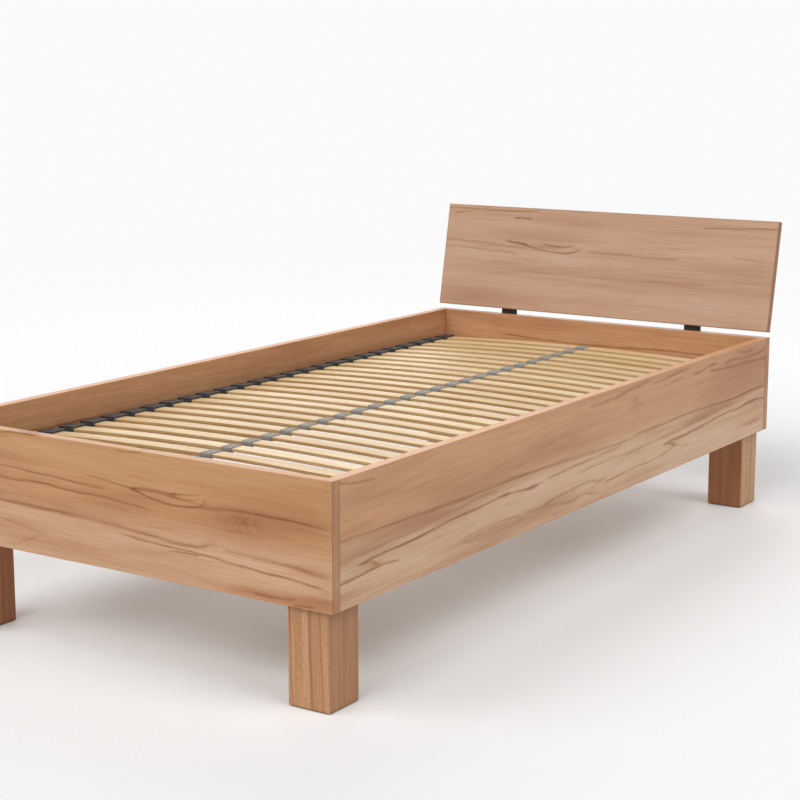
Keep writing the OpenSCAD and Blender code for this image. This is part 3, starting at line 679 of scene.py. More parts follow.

# %% [markdown]
# ## The headboard
# A calm board, chosen for the place at eye height. It leans back, so its grain coordinates lean too, and
# all four edges of its face get a dark line, partly real and partly painted shade where the rounded
# edges and the underside lie in shade.

# %% The headboard
HEAD_TONES = [linear(c) for c in ("#C5A187", "#C9A690", "#B0876B")]
LEAN = math.radians(11)
low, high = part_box("headboard")
BOARD_HIGH, BOARD_THICK = 305 * MM, 22 * MM
head_size = (high.x - low.x, BOARD_HIGH)
underside = BOARD_THICK * math.sin(LEAN) * math.cos(LEAN)  # from the box's corner to the face's lower edge
head_lines = [
    ([(0, 296), (90, 298), (180, 296), (320, 300)], 0.7, 6, 4),
    ([(15, 281), (60, 287), (100, 295), (145, 306)], 0.5, 8, 4),
    ([(235, 276), (262, 278), (295, 276)], 0.8, 4, 3.5),
    ([(205, 208), (264, 201), (300, 193), (350, 184), (430, 183), (472, 197)], 1.0, 7, 3.5),
    ([(340, 205), (380, 199), (420, 200), (445, 207)], 0.9, 5, 3.5),
    ([(0, 203), (60, 199), (143, 196), (240, 190), (300, 188)], 0.5, -9, 4),
    ([(0, 180), (60, 181), (150, 176), (260, 172)], 0.45, 8, 4),
    ([(480, 190), (600, 188), (680, 184), (790, 188)], 0.5, -8, 4),
    ([(840, 278), (920, 281), (1000, 285), (1070, 286)], 0.75, 7, 3.5),
    ([(940, 201), (1000, 198), (1070, 194)], 0.35, 6, 4),
    ([(240, 122), (520, 116), (900, 120)], 0.35, 10, 4),
]
head_patches = [
    (420, 225, 330, 34, 0.2),
    (330, 196, 150, 16, 0.4),
    (600, 190, 300, 26, 0.15),
    (960, 150, 200, 60, 0.1),
]
head_blots = [
    (270, 200, 50, 9, 0.6),
    (450, 197, 30, 9, 0.45),
    (240, 277, 20, 6, 0.4),
    (280, 277, 18, 6, 0.4),
]
head_knots = [(380, 194, 90, 16, 0.12), (1030, 170, 40, 40, 0.06)]
drawn = (head_lines, head_patches, head_blots, head_knots)
looks = {"end_tone": linear("#8F5F3E"), "lean": -0.4, "fibres": 0.6, "pale": (0.8, 0.5)}
rim = (underside, underside + BOARD_HIGH)
upwards = Vector((0, math.sin(LEAN), math.cos(LEAN)))
head_beech = heart_beech(
    "oiled_heart_beech_headboard", X, upwards, low, head_size, HEAD_TONES, 23.5, *drawn, **looks,
    thick=BOARD_THICK, rim=rim,
)
dress(head_beech, "headboard")
print("headboard:", [round(v, 3) for v in head_size])

# %% [markdown]
# ## The legs
# Each leg is glued from upright staves that differ in tone. Across the front they read as stripes, and
# the two sides show the flat face of the outer stave, which is reddish. On the two legs whose faces stand
# in the shade under the bed, the darker reddish tones are partly painted shade.

# %% The legs
LEG_TONES = [linear(c) for c in ("#CAA17C", "#A5704D")]
STAVE_SLOPE = 0.04  # the staves' edges lean by 4 mm in 100
STAVE_WAVER, STAVE_START = 16 * MM, -12 * MM  # how far they stray by chance, and from where
SIDE_DEPTH = 4 * MM  # on the leg's sides nothing strays, and so deep in it strays fully
# Shares of the width, and how reddish a stave is there, from 0 to 1.
STAVES = [(0.012, 0.2), (0.04, 0.3), (0.07, 1.0), (0.1, 0.2), (0.5, 0.1), (0.54, 0.95), (0.57, 0.8)]
STAVES += [(0.61, 0.5), (0.8, 0.5), (0.825, 1.0), (0.85, 0.25), (0.94, 0.15), (0.985, 0.6)]
# As for the boards: length and width in millimetres, what is added to the seed, and the noise's detail.
MARKS |= {"stave waver": (200, 40, 1.0, 3.0), "stave fibre": (80, 2.0, 2.0, 3.0)}
MARKS |= {"stave fleck": (8, 3.6, 3.0, 2.0)}
# Length and width in millimetres, what is added to the seed, how dark, and the noise where it is clear.
LEG_STREAKS = [(500, 14, 6.0, 0.84, 0.6), (300, 5, 4.0, 0.88, 0.65)]


def leg_beech(name, low, high, seed, outer_tone, heart):
    """Upright staves, told apart by a ramp over the leg's width, with fine upright fibres, and ray flecks
    on the paler ones. outer_tone: how reddish the two side faces are, from 0 to 1. heart: how reddish the
    staves between are at least."""
    material, tree, shader = finish_named(name)
    place = board_place(tree, Z, X, low)
    up, side, _ = add(tree, SEPARATE, {0: place}).outputs
    wide = high.x - low.x
    waver = mark(tree, place, "stave waver", seed)
    shift = add(tree, MATH, {0: waver, 1: STAVE_WAVER, 2: STAVE_START}, operation="MULTIPLY_ADD")
    shift = add(tree, MATH, {0: up, 1: STAVE_SLOPE, 2: shift}, operation="MULTIPLY_ADD")
    inner = add(tree, RANGE, {"Value": side, "From Max": SIDE_DEPTH})
    outer = add(tree, RANGE, {"Value": side, "From Min": wide, "From Max": wide - SIDE_DEPTH})
    shift = add(tree, MATH, {0: shift, 1: inner}, operation="MULTIPLY")
    shift = add(tree, MATH, {0: shift, 1: outer, 2: side}, operation="MULTIPLY_ADD")
    share = add(tree, MATH, {0: shift, 1: 1 / wide}, operation="MULTIPLY")
    tones = [(0, outer_tone), *((p, max(v, heart)) for p, v in STAVES), (0.995, outer_tone)]
    stave = add(tree, RAMP, {0: share}, stops=tones)
    colour = add(tree, MIX, {0: stave, 1: LEG_TONES[0], 2: LEG_TONES[1]}, data_type="RGBA")
    for long, width, own, dark, clear in LEG_STREAKS:
        noise = streaks(tree, place, long, width, seed + own)
        colour = shaded(tree, colour, noise, [(0.35, dark), (clear, 1.0)])
    colour = shaded(tree, colour, up, [(0.0, 0.72), (0.004, 1.0)])  # painted shade at the very bottom, where the leg stands on its glide
    fibre = mark(tree, place, "stave fibre", seed)
    colour = shaded(tree, colour, fibre, [(0.35, 0.92), (0.65, 1.0)])
    fleck = mark(tree, place, "stave fleck", seed)
    fleck = add(tree, RAMP, {0: fleck}, stops=[(0.5, warm(1.0)), (0.64, warm(0.76))])
    pale = add(tree, MATH, {0: 1.0, 1: stave}, operation="SUBTRACT")
    colour = add(tree, MIX, {0: pale, 1: colour, 2: fleck}, data_type="RGBA", blend_type="MULTIPLY")
    bump = add(tree, "ShaderNodeBump", {**RELIEF, "Height": fibre})
    connect(tree, shader, colour, add(tree, RANGE, {"Value": fibre, **SATIN}), bump)
    shader.inputs["IOR"].default_value = WOOD_IOR
    return material


LEGS = {  # how reddish a leg's sides are, and the staves between them at least; partly painted shade on two legs
    # its inner side stands in the shade under the bed: the fully reddish sides are partly painted shade
    "leg_foot_left": (1.0, 0.0),
    "leg_foot_right": (0.62, 0.0),
    "leg_head_left": (0.6, 0.3),
    # its front stands in the shade under the bed: the reddish staves there are partly painted shade
    "leg_head_right": (0.0, 0.95),
}
for n, (leg, redness_and_shade) in enumerate(LEGS.items()):
    low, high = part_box(leg)
    dress(leg_beech("oiled_beech_" + leg, low, high, 31.0 + 5 * n, *redness_and_shade), leg)
print("legs:", [round(v, 3) for v in high - low])

# %% [markdown]
# ## Ledges and dowels
# Plain straight-grained beech without heart lines, left raw. It uses the same recipe with other tones.

# %% Ledges and dowels
LEDGE_TONES = [linear(c) for c in ("#D6B28E", "#D6B28E", "#C79C74")]
low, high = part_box("ledge_left")
ledge_size = (high.y - low.y, high.z - low.z)
ledge_beech = heart_beech("ledge_beech", Y, Z, low, ledge_size, LEDGE_TONES, 41.3)
dress(ledge_beech, "ledge", "corner_dowels")
print("ledges:", [round(v, 3) for v in high - low])

# %% [markdown]
# ## Pine for the base
# The base's beams and cross rails are planed pine: pale early wood and narrow orange late wood, a few
# millimetres apart, with now and then a brown knot. A sawtooth of a wandering height gives the rings:
# each one darkens slowly and ends sharply.

# %% Pine for the base
PINE_RING = 5.5  # millimetres from one late-wood line to the next
PINE_SAW = [(0.0, 0.0), (0.45, 0.12), (0.85, 0.85), (0.95, 1.0), (1.0, 0.0)]  # late wood over one ring
WANDER = 60 * MM  # how far a ring strays, from lowest to highest
RING_SLANT = 0.35  # how far a ring shifts for each metre of depth
KNOTS = 2.2  # a metre in each direction; most of them lie outside the wood
KNOT = [(0.0, 1.0), (0.018, 0.7), (0.03, 0.0)]  # its darkness by the distance in such spacings
PLANED = {"To Min": 0.5, "To Max": 0.7}  # roughness of planed pine
MARKS |= {"pine wander": (700, 60, 0.0, 2.0), "pine fibre": (60, 1.6, 2.4, 3.0)}


def base_pine(name, along, across, corner, seed):
    """Rings: the fraction of height plus slanted depth plus wander, over the ring width, through a ramp."""
    material, tree, shader = finish_named(name)
    place = board_place(tree, along, across, corner)
    _, height, depth = add(tree, SEPARATE, {0: place}).outputs
    wander = mark(tree, place, "pine wander", seed)
    wander = add(tree, MATH, {0: wander, 1: WANDER}, operation="MULTIPLY")
    level = add(tree, MATH, {0: depth, 1: RING_SLANT, 2: wander}, operation="MULTIPLY_ADD")
    level = add(tree, MATH, {0: height, 1: level}, operation="ADD")
    level = add(tree, MATH, {0: level, 1: 1 / PINE_RING / MM}, operation="MULTIPLY")
    beyond = add(tree, MATH, {0: level}, operation="FRACT")
    ring = add(tree, RAMP, {0: beyond}, stops=PINE_SAW)
    colour = add(tree, MIX, {0: ring, 1: linear("#E3C79D"), 2: linear("#C9975F")}, data_type="RGBA")
    spots = add(tree, "ShaderNodeTexVoronoi", {"Vector": place, "Scale": KNOTS, "Randomness": 1.0})
    knot = add(tree, RAMP, {0: spots}, stops=KNOT)
    colour = add(tree, MIX, {0: knot, 1: colour, 2: linear("#7A4A26")}, data_type="RGBA")
    fibre = mark(tree, place, "pine fibre", seed)
    colour = shaded(tree, colour, fibre, [(0.3, 0.88), (0.7, 1.0)])
    bump = add(tree, "ShaderNodeBump", {"Strength": 0.4, "Distance": 0.5 * MM, "Height": fibre})
    connect(tree, shader, colour, add(tree, RANGE, {"Value": fibre, **PLANED}), bump)
    return material


dress(base_pine("planed_pine_beams", Y, Z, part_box("base_beam_left")[0], 51.0), "base_beam")
dress(base_pine("planed_pine_cross_rails", X, Z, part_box("base_cross_foot")[0], 57.0), "base_cross")
print("pine solids:", sorted(name for name in dressed if name.startswith("base_")))

# %% [markdown]
# ## Birch slats
# A sprung slat is glued from five thin birch veneers over a curved form. From above it shows peeled
# birch, pale with long soft flames. Its two long edges show the plies as stripes that follow the bend:
# the depth below the slat's arc, divided by the thickness of a ply, tells which ply a point is in.

# %% Measure a slat
SLATS = 28
SLAT_THICK = 8 * MM
slat_low, slat_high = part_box("slat_01")
slat_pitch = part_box("slat_02")[0].y - slat_low.y
slat_half = (slat_high.x - slat_low.x) / 2
slat_rise = slat_high.z - slat_low.z - SLAT_THICK
slat_radius = (slat_half**2 + slat_rise**2) / 2 / slat_rise
print("slat rise", round(slat_rise, 4), "radius", round(slat_radius, 2), "pitch", round(slat_pitch, 4))

# %% Birch slats
PLIES = 5
OWN_SEED = 3.7  # how far the noise of one slat lies from that of the next
# Length and width in millimetres, how dark, and the noise at which each flame is darkest and clear.
FLAMES = [(380, 16, 0.84, 0.35, 0.6), (140, 5, 0.9, 0.35, 0.6), (50, 1.8, 0.9, 0.3, 0.7)]
GLUE_LINE = [(0.0, 0.4), (0.14, 0.95), (0.86, 0.95), (1.0, 0.4)]  # over one ply
CROSSED = [(0.0, 1.0), (0.48, 1.0), (0.52, 0.8), (1.0, 0.8)]  # over two: every other one lies crosswise
IS_EDGE = {"From Min": 0.55, "From Max": 0.75}  # how squarely a place faces along the bed, from top to edge
PEELED = {"To Min": 0.38, "To Max": 0.55}  # roughness of peeled birch


def birch_edge(tree, colour, along, depth):
    """The plies: the depth below the arc, which falls by the square of the way over twice the radius."""
    squared = add(tree, MATH, {0: along, 1: along}, operation="MULTIPLY")
    below = add(tree, MATH, {0: squared, 1: 1 / (2 * slat_radius), 2: depth}, operation="MULTIPLY_ADD")
    ply = add(tree, MATH, {0: below, 1: -PLIES / SLAT_THICK}, operation="MULTIPLY")
    pair = add(tree, MATH, {0: ply, 1: 0.5}, operation="MULTIPLY")
    colour = shaded(tree, colour, add(tree, MATH, {0: ply}, operation="FRACT"), GLUE_LINE)
    return shaded(tree, colour, add(tree, MATH, {0: pair}, operation="FRACT"), CROSSED)


def laminated_birch():
    """Peeled birch with long flames, its own tone and seed for each slat, and plies on the long edges."""
    material, tree, shader = finish_named("laminated_birch")
    place = board_place(tree, X, Y, (0, slat_low.y, slat_high.z))
    along, over, depth = add(tree, SEPARATE, {0: place}).outputs
    number = add(tree, MATH, {0: over, 1: 1 / slat_pitch}, operation="MULTIPLY")
    number = add(tree, MATH, {0: number}, operation="FLOOR")
    own = add(tree, "ShaderNodeTexWhiteNoise", {"W": number}, noise_dimensions="1D")
    seed = add(tree, MATH, {0: number, 1: OWN_SEED}, operation="MULTIPLY")
    colour = add(tree, MIX, {0: own, 1: linear("#E2CCA6"), 2: linear("#D2B688")}, data_type="RGBA")
    for long, wide, dark, darkest, clear in FLAMES:
        flame = streaks(tree, place, long, wide, seed, 3.0)
        colour = shaded(tree, colour, flame, [(darkest, dark), (clear, 1.0)])
    facing = add(tree, SEPARATE, {0: add(tree, COORDINATES).outputs["Normal"]})
    facing = add(tree, MATH, {0: facing.outputs["Y"]}, operation="ABSOLUTE")
    edge = add(tree, RANGE, {"Value": facing, **IS_EDGE})
    stripes = birch_edge(tree, colour, along, depth)
    colour = add(tree, MIX, {0: edge, 1: colour, 2: stripes}, data_type="RGBA")
    bump = add(tree, "ShaderNodeBump", {"Strength": 0.25, "Distance": 0.4 * MM, "Height": flame})
    connect(tree, shader, colour, add(tree, RANGE, {"Value": flame, **PEELED}), bump)
    return material


dress(laminated_birch(), "slat_0", "slat_1", "slat_2")
print("a ply is", SLAT_THICK / PLIES / MM, "mm thick")

# %% [markdown]
# ## Moulded and coated finishes
# The holders are a moulded elastomer with an eroded, matt texture. The steel bars are powder coated,
# which leaves a fine orange peel. The screws, bolts and washers are zinc plated: a bluish metal whose
# tiny crystals vary its gloss. Felt is a mat of fibres, rough and without any shine.


# %% Moulded and coated finishes
COARSER = 12  # how much larger than its grain the clouds of a finish are
UNEVEN = 0.07  # how far roughness strays up and down


def even_finish(name, dark, light, grain_mm, roughness, relief, metallic=0.0):
    """A finish without direction: noise of one grain size raises it, a coarser one varies its roughness,
    and both tint it. Grain and relief in millimetres."""
    material, tree, shader = finish_named(name)
    here = add(tree, COORDINATES).outputs["Object"]
    coarse = add(tree, NOISE, {"Vector": here, "Scale": 1 / (COARSER * grain_mm * MM), "Detail": 2.0})
    fine = add(tree, NOISE, {"Vector": here, "Scale": 1 / (grain_mm * MM), "Detail": 2.0})
    blend = add(tree, MATH, {0: coarse, 1: fine}, operation="ADD")
    blend = add(tree, RANGE, {"Value": blend, "From Min": 0.7, "From Max": 1.3})
    colour = add(tree, MIX, {0: blend, 1: linear(dark), 2: linear(light)}, data_type="RGBA")
    around = {"To Min": roughness - UNEVEN, "To Max": roughness + UNEVEN}
    rough = add(tree, RANGE, {"Value": coarse, "From Min": 0.3, "From Max": 0.7, **around})
    bump = add(tree, "ShaderNodeBump", {"Strength": 0.5, "Distance": relief * MM, "Height": fine})
    connect(tree, shader, colour, rough, bump)
    shader.inputs["Metallic"].default_value = metallic
    return material


dress(even_finish("moulded_elastomer", "#2E2E30", "#3F3F42", 0.8, 0.55, 0.15), "slat_holders")
dress(even_finish("powder_coated_steel", "#242426", "#313134", 1.2, 0.42, 0.08), "headboard_bracket")
zinc = even_finish("zinc_plated_steel", "#9DA3A8", "#C2C6C9", 0.6, 0.32, 0.02, 1.0)
dress(zinc, "bracket_bolts", "headboard_screws", "ledge_screws", "base_screws")
dress(zinc, "leg_bolts", "leg_washers", "threaded_inserts")
felt = even_finish("pressed_felt", "#8F8A82", "#B5B0A8", 1.0, 0.95, 0.5)
dress(felt, "felt_glides")
print("dressed so far:", len(dressed), "of", len(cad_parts))

# %% [markdown]
# ## Surfaces from numbers
# The solids stand for the wood and the metal, but webbing and felt are soft: their edges are round and
# their faces not quite flat. They are worked out as grids of points: rows run along the piece and columns
# round it. One function turns such a grid into a mesh, closed where the piece is closed, with its caps.


# %% Surfaces from numbers
def surface(name, points, ring=False, along=None, across=None):
    """A mesh from an array of parts, rows, columns and xyz. Each face joins a point to the next in its row
    and to both in the row after. Columns close to a ring, and rows too if ring is true; otherwise both ends
    get a cap. along and across, in metres, are kept as the UV map."""
    parts, rows, columns = points.shape[:3]
    row = np.arange(rows if ring else rows - 1)[:, None]
    column = np.arange(columns)[None, :]
    corners = [(row, column), (row, column + 1), (row + 1, column + 1), (row + 1, column)]
    quad = np.stack([(r % rows) * columns + c % columns for r, c in corners], -1).reshape(-1, 4)
    start = np.arange(parts)[:, None, None] * rows * columns
    faces = (quad[None] + start).reshape(-1, 4).tolist()
    if not ring:
        first = np.arange(columns)[::-1] + start[:, 0]
        faces += first.tolist() + (np.arange(columns) + (rows - 1) * columns + start[:, 0]).tolist()
    mesh = bpy.data.meshes.new(name)
    mesh.from_pydata(points.reshape(-1, 3).tolist(), [], faces)
    if along is not None:
        places = [np.stack([along[r + 0 * c], across[c + 0 * r]], -1) for r, c in corners]
        uv = np.tile(np.stack(places, -2).reshape(-1, 2), (parts, 1))
        uv = np.vstack([uv, np.zeros((len(mesh.loops) - len(uv), 2))])
        mesh.uv_layers.new(name="webbing").data.foreach_set("uv", uv.ravel())
    mesh.shade_smooth()
    piece = bpy.data.objects.new(name, mesh)
    scene.collection.objects.link(piece)
    print(name, len(mesh.vertices), "points,", len(mesh.polygons), "faces")
    return piece


def rounded(steps, half_wide, half_high, radius):
    """A rounded rectangle as two rows of numbers, each corner's centre plus a quarter circle round it, and
    the way that each point faces, as an angle."""
    turn = (np.arange(steps) + 0.5) / steps * 2 * np.pi
    wide = np.sign(np.cos(turn)) * (half_wide - radius) + radius * np.cos(turn)
    high = np.sign(np.sin(turn)) * (half_high - radius) + radius * np.sin(turn)
    return wide, high, turn


print("a rounded section 2 wide and 1 high:", [round(v.max() * 2, 2) for v in rounded(40, 1, 0.5, 0.2)[:2]])

# %% [markdown]
# ## The webbing down the middle
# A strap keeps the slats evenly spread. It is one long band under the slats, with a loop round each slat
# that is sewn onto it. Webbing is woven thick at its two edges, the selvedges, so its section is not a
# plain strip but slightly waisted. The section is carried along a path: a straight one that sags a little
# between the slats for the band, and a rounded rectangle for the loops.


# %% The section of the webbing
BAND_THICK, BAND_EDGE = 1.0 * MM, 0.4 * MM  # thickness, and the radius of its edges
WAIST = 0.18 * MM  # how much thinner each face is in the middle
strap_low, strap_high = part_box("centre_strap")
side, face, turn = rounded(20, (strap_high.x - strap_low.x) / 2, BAND_THICK / 2, BAND_EDGE)
flat = np.linspace(-0.92, 0.92, 9) * side.max()  # a face without its rounded edges
waisted = BAND_THICK / 2 - WAIST * np.cos(flat / side.max() * np.pi / 2) ** 2
first, last = turn < np.pi / 2, turn > 3 * np.pi / 2  # the two quarters of the right edge
left = ~first & ~last
side = np.concatenate([side[first], flat[::-1], side[left], flat, side[last]])
face = np.concatenate([face[first], waisted, face[left], -waisted, face[last]])
across = np.append(side, side[:1])
print("webbing:", round((strap_high.x - strap_low.x) / MM, 1), "mm wide,", len(side), "points round it")


# %% The loops round the slats
def carried(way_y, way_z, out_y, out_z):
    """The webbing's section at every point of a path in the y-z plane, its thickness along the way out."""
    y = way_y[..., None] + out_y[..., None] * face
    z = way_z[..., None] + out_z[..., None] * face
    return np.stack([side + 0 * y, y, z], -1)


PLAY = 0.3 * MM  # between a loop and its slat
LOOP_BEND = 2.6 * MM  # the radius at which a loop turns a corner
slat_boxes = [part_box(f"slat_{n:02d}") for n in range(1, SLATS + 1)]
slat_middles = np.array([(low.y + high.y) / 2 for low, high in slat_boxes])
slat_crown = slat_high.z - SLAT_THICK / 2
slat_width = slat_high.y - slat_low.y
spare = PLAY + BAND_THICK / 2
wide, high, turn = rounded(32, slat_width / 2 + spare, SLAT_THICK / 2 + spare, LOOP_BEND)
steps = np.hypot(np.diff(wide, append=wide[:1]), np.diff(high, append=high[:1]))
loop_y = slat_middles[:, None] + wide
loop_z = slat_crown + high + 0 * loop_y
points = carried(loop_y, loop_z, np.cos(turn) + 0 * loop_y, np.sin(turn) + 0 * loop_y)
loops = surface("webbing_loops", points, ring=True, along=np.append(0, np.cumsum(steps)), across=across)

# %% The band under the slats
DROP, LAP = 11 * MM, 10 * MM  # how far the ends come down over, and lie on the cross rails
SAG = 0.35 * MM  # between two slats
NESTED = 0.3 * MM  # how deep the sewing presses a loop into the band
BAND_POINTS = 520  # along the band, which is enough for a smooth sag
rail_top = strap_low.z + BAND_THICK / 2
band_height = slat_crown - SLAT_THICK / 2 - PLAY - 1.5 * BAND_THICK + NESTED
band_y = np.linspace(strap_high.y, strap_low.y, BAND_POINTS)  # head to foot, so that faces point outwards
from_end = np.minimum(band_y - strap_low.y, strap_high.y - band_y)
rise = np.clip((from_end - LAP) / DROP, 0, 1)
phase = (band_y - slat_middles[0]) / slat_pitch * np.pi
band_z = rail_top + (band_height - rail_top) * rise * rise * (3 - 2 * rise)  # a smooth step at each end
band_z = band_z - SAG * np.sin(phase) ** 2 * (rise >= 1)  # and a sag that is none under each slat
slope = np.gradient(band_z, band_y)
steep = np.hypot(slope, 1)
points = carried(band_y, band_z, -slope / steep, 1 / steep)[None]
band = surface("webbing_band", points, along=band_y, across=across)

# %% [markdown]
# ## Sewing
# Two seams across the band hold each loop. A stitch shows as a short length of thread that thins out and
# dives into the webbing at both ends. There are hundreds, so each one has only a few faces.

# %% Sewing
STITCH, STITCH_PITCH = 3.2 * MM, 1.15  # length, and from one to the next in lengths
THREAD = 0.45 * MM  # thickness; real thread is half as thick, and this one shows
STITCHES, SEAM = 7, 13 * MM  # stitches in a seam, and how far it lies from the slat's middle
SUNK = 0.1 * MM  # how far the thread's middle lies inside the webbing's face
share = np.linspace(-1, 1, 6)
round_thread = np.arange(6) / 6 * 2 * np.pi
columns_x = (np.arange(STITCHES) - (STITCHES - 1) / 2) * STITCH * STITCH_PITCH
seam_y = (slat_middles[:, None] + np.array([-SEAM, SEAM])).ravel()
x, y = (a.ravel()[:, None, None] for a in np.meshgrid(columns_x, seam_y))
fat = THREAD / 2 * np.sqrt(1.02 - share**2)[:, None]  # an ellipse along the stitch, not quite closed
under = band_height - BAND_THICK / 2 + WAIST - SUNK
stitch_x = x + (share * STITCH / 2)[:, None] + 0 * round_thread
stitch_y = y + fat * np.cos(round_thread)
stitch_z = under + fat * np.sin(round_thread) + 0 * stitch_x
stitches = surface("webbing_stitches", np.stack([stitch_x, stitch_y, stitch_z], -1))

# %% [markdown]
# ## Woven webbing
# Warp threads run along the strap and weft threads across it, one over the other in turn. It is laid on
# the strap's own UV map, so it follows the loops round the slats. The selvedges are a shade darker.


# %% Woven webbing
WARP, WEFT = 1.6, 2.4  # millimetres between threads; real ones are finer, and these show
SELVEDGE = {"From Min": 12.2 * MM, "From Max": 13.2 * MM}  # how far out it starts and is full
FUZZ = 900.0  # tufts of fibre per metre
WOOLLY = {"To Min": 0.7, "To Max": 0.9}  # roughness of webbing


def woven_webbing():
    """Grey polyester webbing: a checker of threads, with painted shade where they dip under each other,
    darker selvedges, and a bloom of fine fibres.
    """
    material, tree, shader = finish_named("woven_webbing")
    along, out, _ = add(tree, SEPARATE, {0: add(tree, "ShaderNodeUVMap", uv_map="webbing")}).outputs
    threads = []
    for way, spacing in ((along, WEFT), (out, WARP)):
        turned = add(tree, MATH, {0: way, 1: math.pi / spacing / MM}, operation="MULTIPLY")
        threads.append(add(tree, MATH, {0: turned}, operation="SINE"))
    weave = add(tree, MATH, {0: threads[0], 1: threads[1]}, operation="MULTIPLY")
    height = add(tree, MATH, {0: weave, 1: 0.5, 2: 0.5}, operation="MULTIPLY_ADD")
    # the colour follows the weave's height: painted shade where a thread dips under the next
    colour = add(tree, MIX, {0: height, 1: linear("#6E6A63"), 2: linear("#A39F96")}, data_type="RGBA")
    here = add(tree, COORDINATES).outputs["Object"]
    fuzz = add(tree, NOISE, {"Vector": here, "Scale": FUZZ, "Detail": 2.0})
    colour = shaded(tree, colour, fuzz, [(0.3, 0.85), (0.7, 1.0)], grey)
    outwards = add(tree, MATH, {0: out}, operation="ABSOLUTE")
    outwards = add(tree, RANGE, {"Value": outwards, **SELVEDGE})
    colour = shaded(tree, colour, outwards, [(0.0, 1.0), (1.0, 0.7)], grey)
    bump = add(tree, "ShaderNodeBump", {"Strength": 0.8, "Distance": 0.5 * MM, "Height": height})
    connect(tree, shader, colour, add(tree, RANGE, {"Value": fuzz, **WOOLLY}), bump)
    shader.inputs["Sheen Weight"].default_value = 0.2
    return material


print("threads: every", WARP, "mm across and every", WEFT, "mm along")

# %% [markdown]
# ## Sewing thread
# Thread is twisted from thinner yarns, which wind round it as slanted stripes: a sine of the way along
# plus the height. Each yarn's crest is painted paler, a painted highlight, and the twist's relief is what
# makes the thread glint.

# %% Sewing thread
TWIST = 0.6  # millimetres from one yarn to the next


def twisted_thread():
    """Polyester sewing thread, with a painted highlight where a yarn comes to the front."""
    material, tree, shader = finish_named("twisted_thread")
    here = add(tree, SEPARATE, {0: add(tree, COORDINATES).outputs["Object"]})
    twist = add(tree, MATH, {0: here.outputs["X"], 1: here.outputs["Z"]}, operation="ADD")
    twist = add(tree, MATH, {0: twist, 1: 2 * math.pi / (TWIST * MM)}, operation="MULTIPLY")
    twist = add(tree, MATH, {0: twist}, operation="SINE")
    twist = add(tree, MATH, {0: twist, 1: 0.5, 2: 0.5}, operation="MULTIPLY_ADD")
    # paler on each yarn's crest: a painted highlight
    colour = add(tree, MIX, {0: twist, 1: linear("#8C8880"), 2: linear("#C9C5BB")}, data_type="RGBA")
    bump = add(tree, "ShaderNodeBump", {"Strength": 0.6, "Distance": 0.2 * MM, "Height": twist})
    connect(tree, shader, colour, bump=bump)
    shader.inputs["Roughness"].default_value = 0.6
    return material


webbing = woven_webbing()
for piece, material in ((loops, webbing), (band, webbing), (stitches, twisted_thread())):
    piece.data.materials.append(material)
    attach(piece, "slatted_base")
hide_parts("centre_strap")
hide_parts("centre_strap")
dress(webbing, "centre_strap")
print("stitches:", STITCHES * len(seam_y))

# %% [markdown]
# ## Felt glides
# Under each leg a square of pressed felt saves the floor. Under the bed's weight its edge bulges out a
# little, and a cut edge of felt is never quite straight. Rings of points run from the middle of its
# underside round the bulging edge to the middle of its top, each a rounded square of its own size.

# %% Felt glides
GLIDE_CORNER = 6 * MM
RAGGED, WAVES = 0.003, (7, 3)  # how much of its size the cut edge strays by, and in how many waves
INWARD = np.array([0.5, 0.02, 0.004, 0.0, 0.0, 0.004, 0.02, 0.5])  # how far each ring lies inside the edge
LEVEL = np.array([0, 0, 0.12, 0.35, 0.65, 0.88, 1, 1])  # and how high, as a share of the thickness
glide_low, glide_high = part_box("felt_glides")
leg_boxes = [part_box(leg) for leg in LEGS]
right_low, right_high = leg_boxes[1]
half_pad = (glide_high.x - right_high.x) + (right_high.x - right_low.x) / 2
pad_x, pad_y, turn = rounded(48, half_pad, half_pad, GLIDE_CORNER)
ragged = 1 - RAGGED * (0.5 + 0.5 * np.sin(WAVES[0] * turn) * np.sin(WAVES[1] * turn + 1))
size = (1 - INWARD)[:, None] * ragged
middles = np.array([[(low.x + high.x) / 2, (low.y + high.y) / 2] for low, high in leg_boxes])
middle_x, middle_y = middles.T[:, :, None, None]
glide_x, glide_y = middle_x + size * pad_x, middle_y + size * pad_y
glide_z = (LEVEL * (glide_high.z - glide_low.z))[:, None] + 0 * glide_x
glides = surface("pressed_felt_glides", np.stack([glide_x, glide_y, glide_z], -1))
glides.data.materials.append(felt)
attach(glides, "bed_frame")
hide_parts("felt_glides")
print("bare:", sorted(set(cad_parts) - dressed))

# %% [markdown]
# ## The floor
# A studio's floor runs up into the backdrop without an edge. A curved sheet could do that, but it would
# stand in the way of the views from behind. A large disc can be seen from all sides: it keeps the bed's
# shadow, and far out it fades to transparent, so the pale world shows through and no edge is left.


# %% The floor
FLOOR_RADIUS = 9.0
FADE = {"From Min": 3.0, "From Max": 6.5}  # metres from the middle to where it starts to fade and ends


def floor_surface(radius, rings, sides):
    """A flat disc: rings of points at the radius times the square of a ring's share, with faces between."""
    ring = np.linspace(0, 1, rings + 1)[1:, None] ** 2 * radius
    turn = np.linspace(0, 2 * np.pi, sides, endpoint=False)[None, :]
    points = np.stack([ring * np.cos(turn), ring * np.sin(turn), 0 * ring * turn], -1).reshape(-1, 3)
    a = (np.arange(rings - 1)[:, None] * sides + np.arange(sides)).ravel()
    b = (np.arange(rings - 1)[:, None] * sides + (np.arange(sides) + 1) % sides).ravel()
    faces = [tuple(range(sides))] + np.stack([a, a + sides, b + sides, b], -1).tolist()
    return points, faces


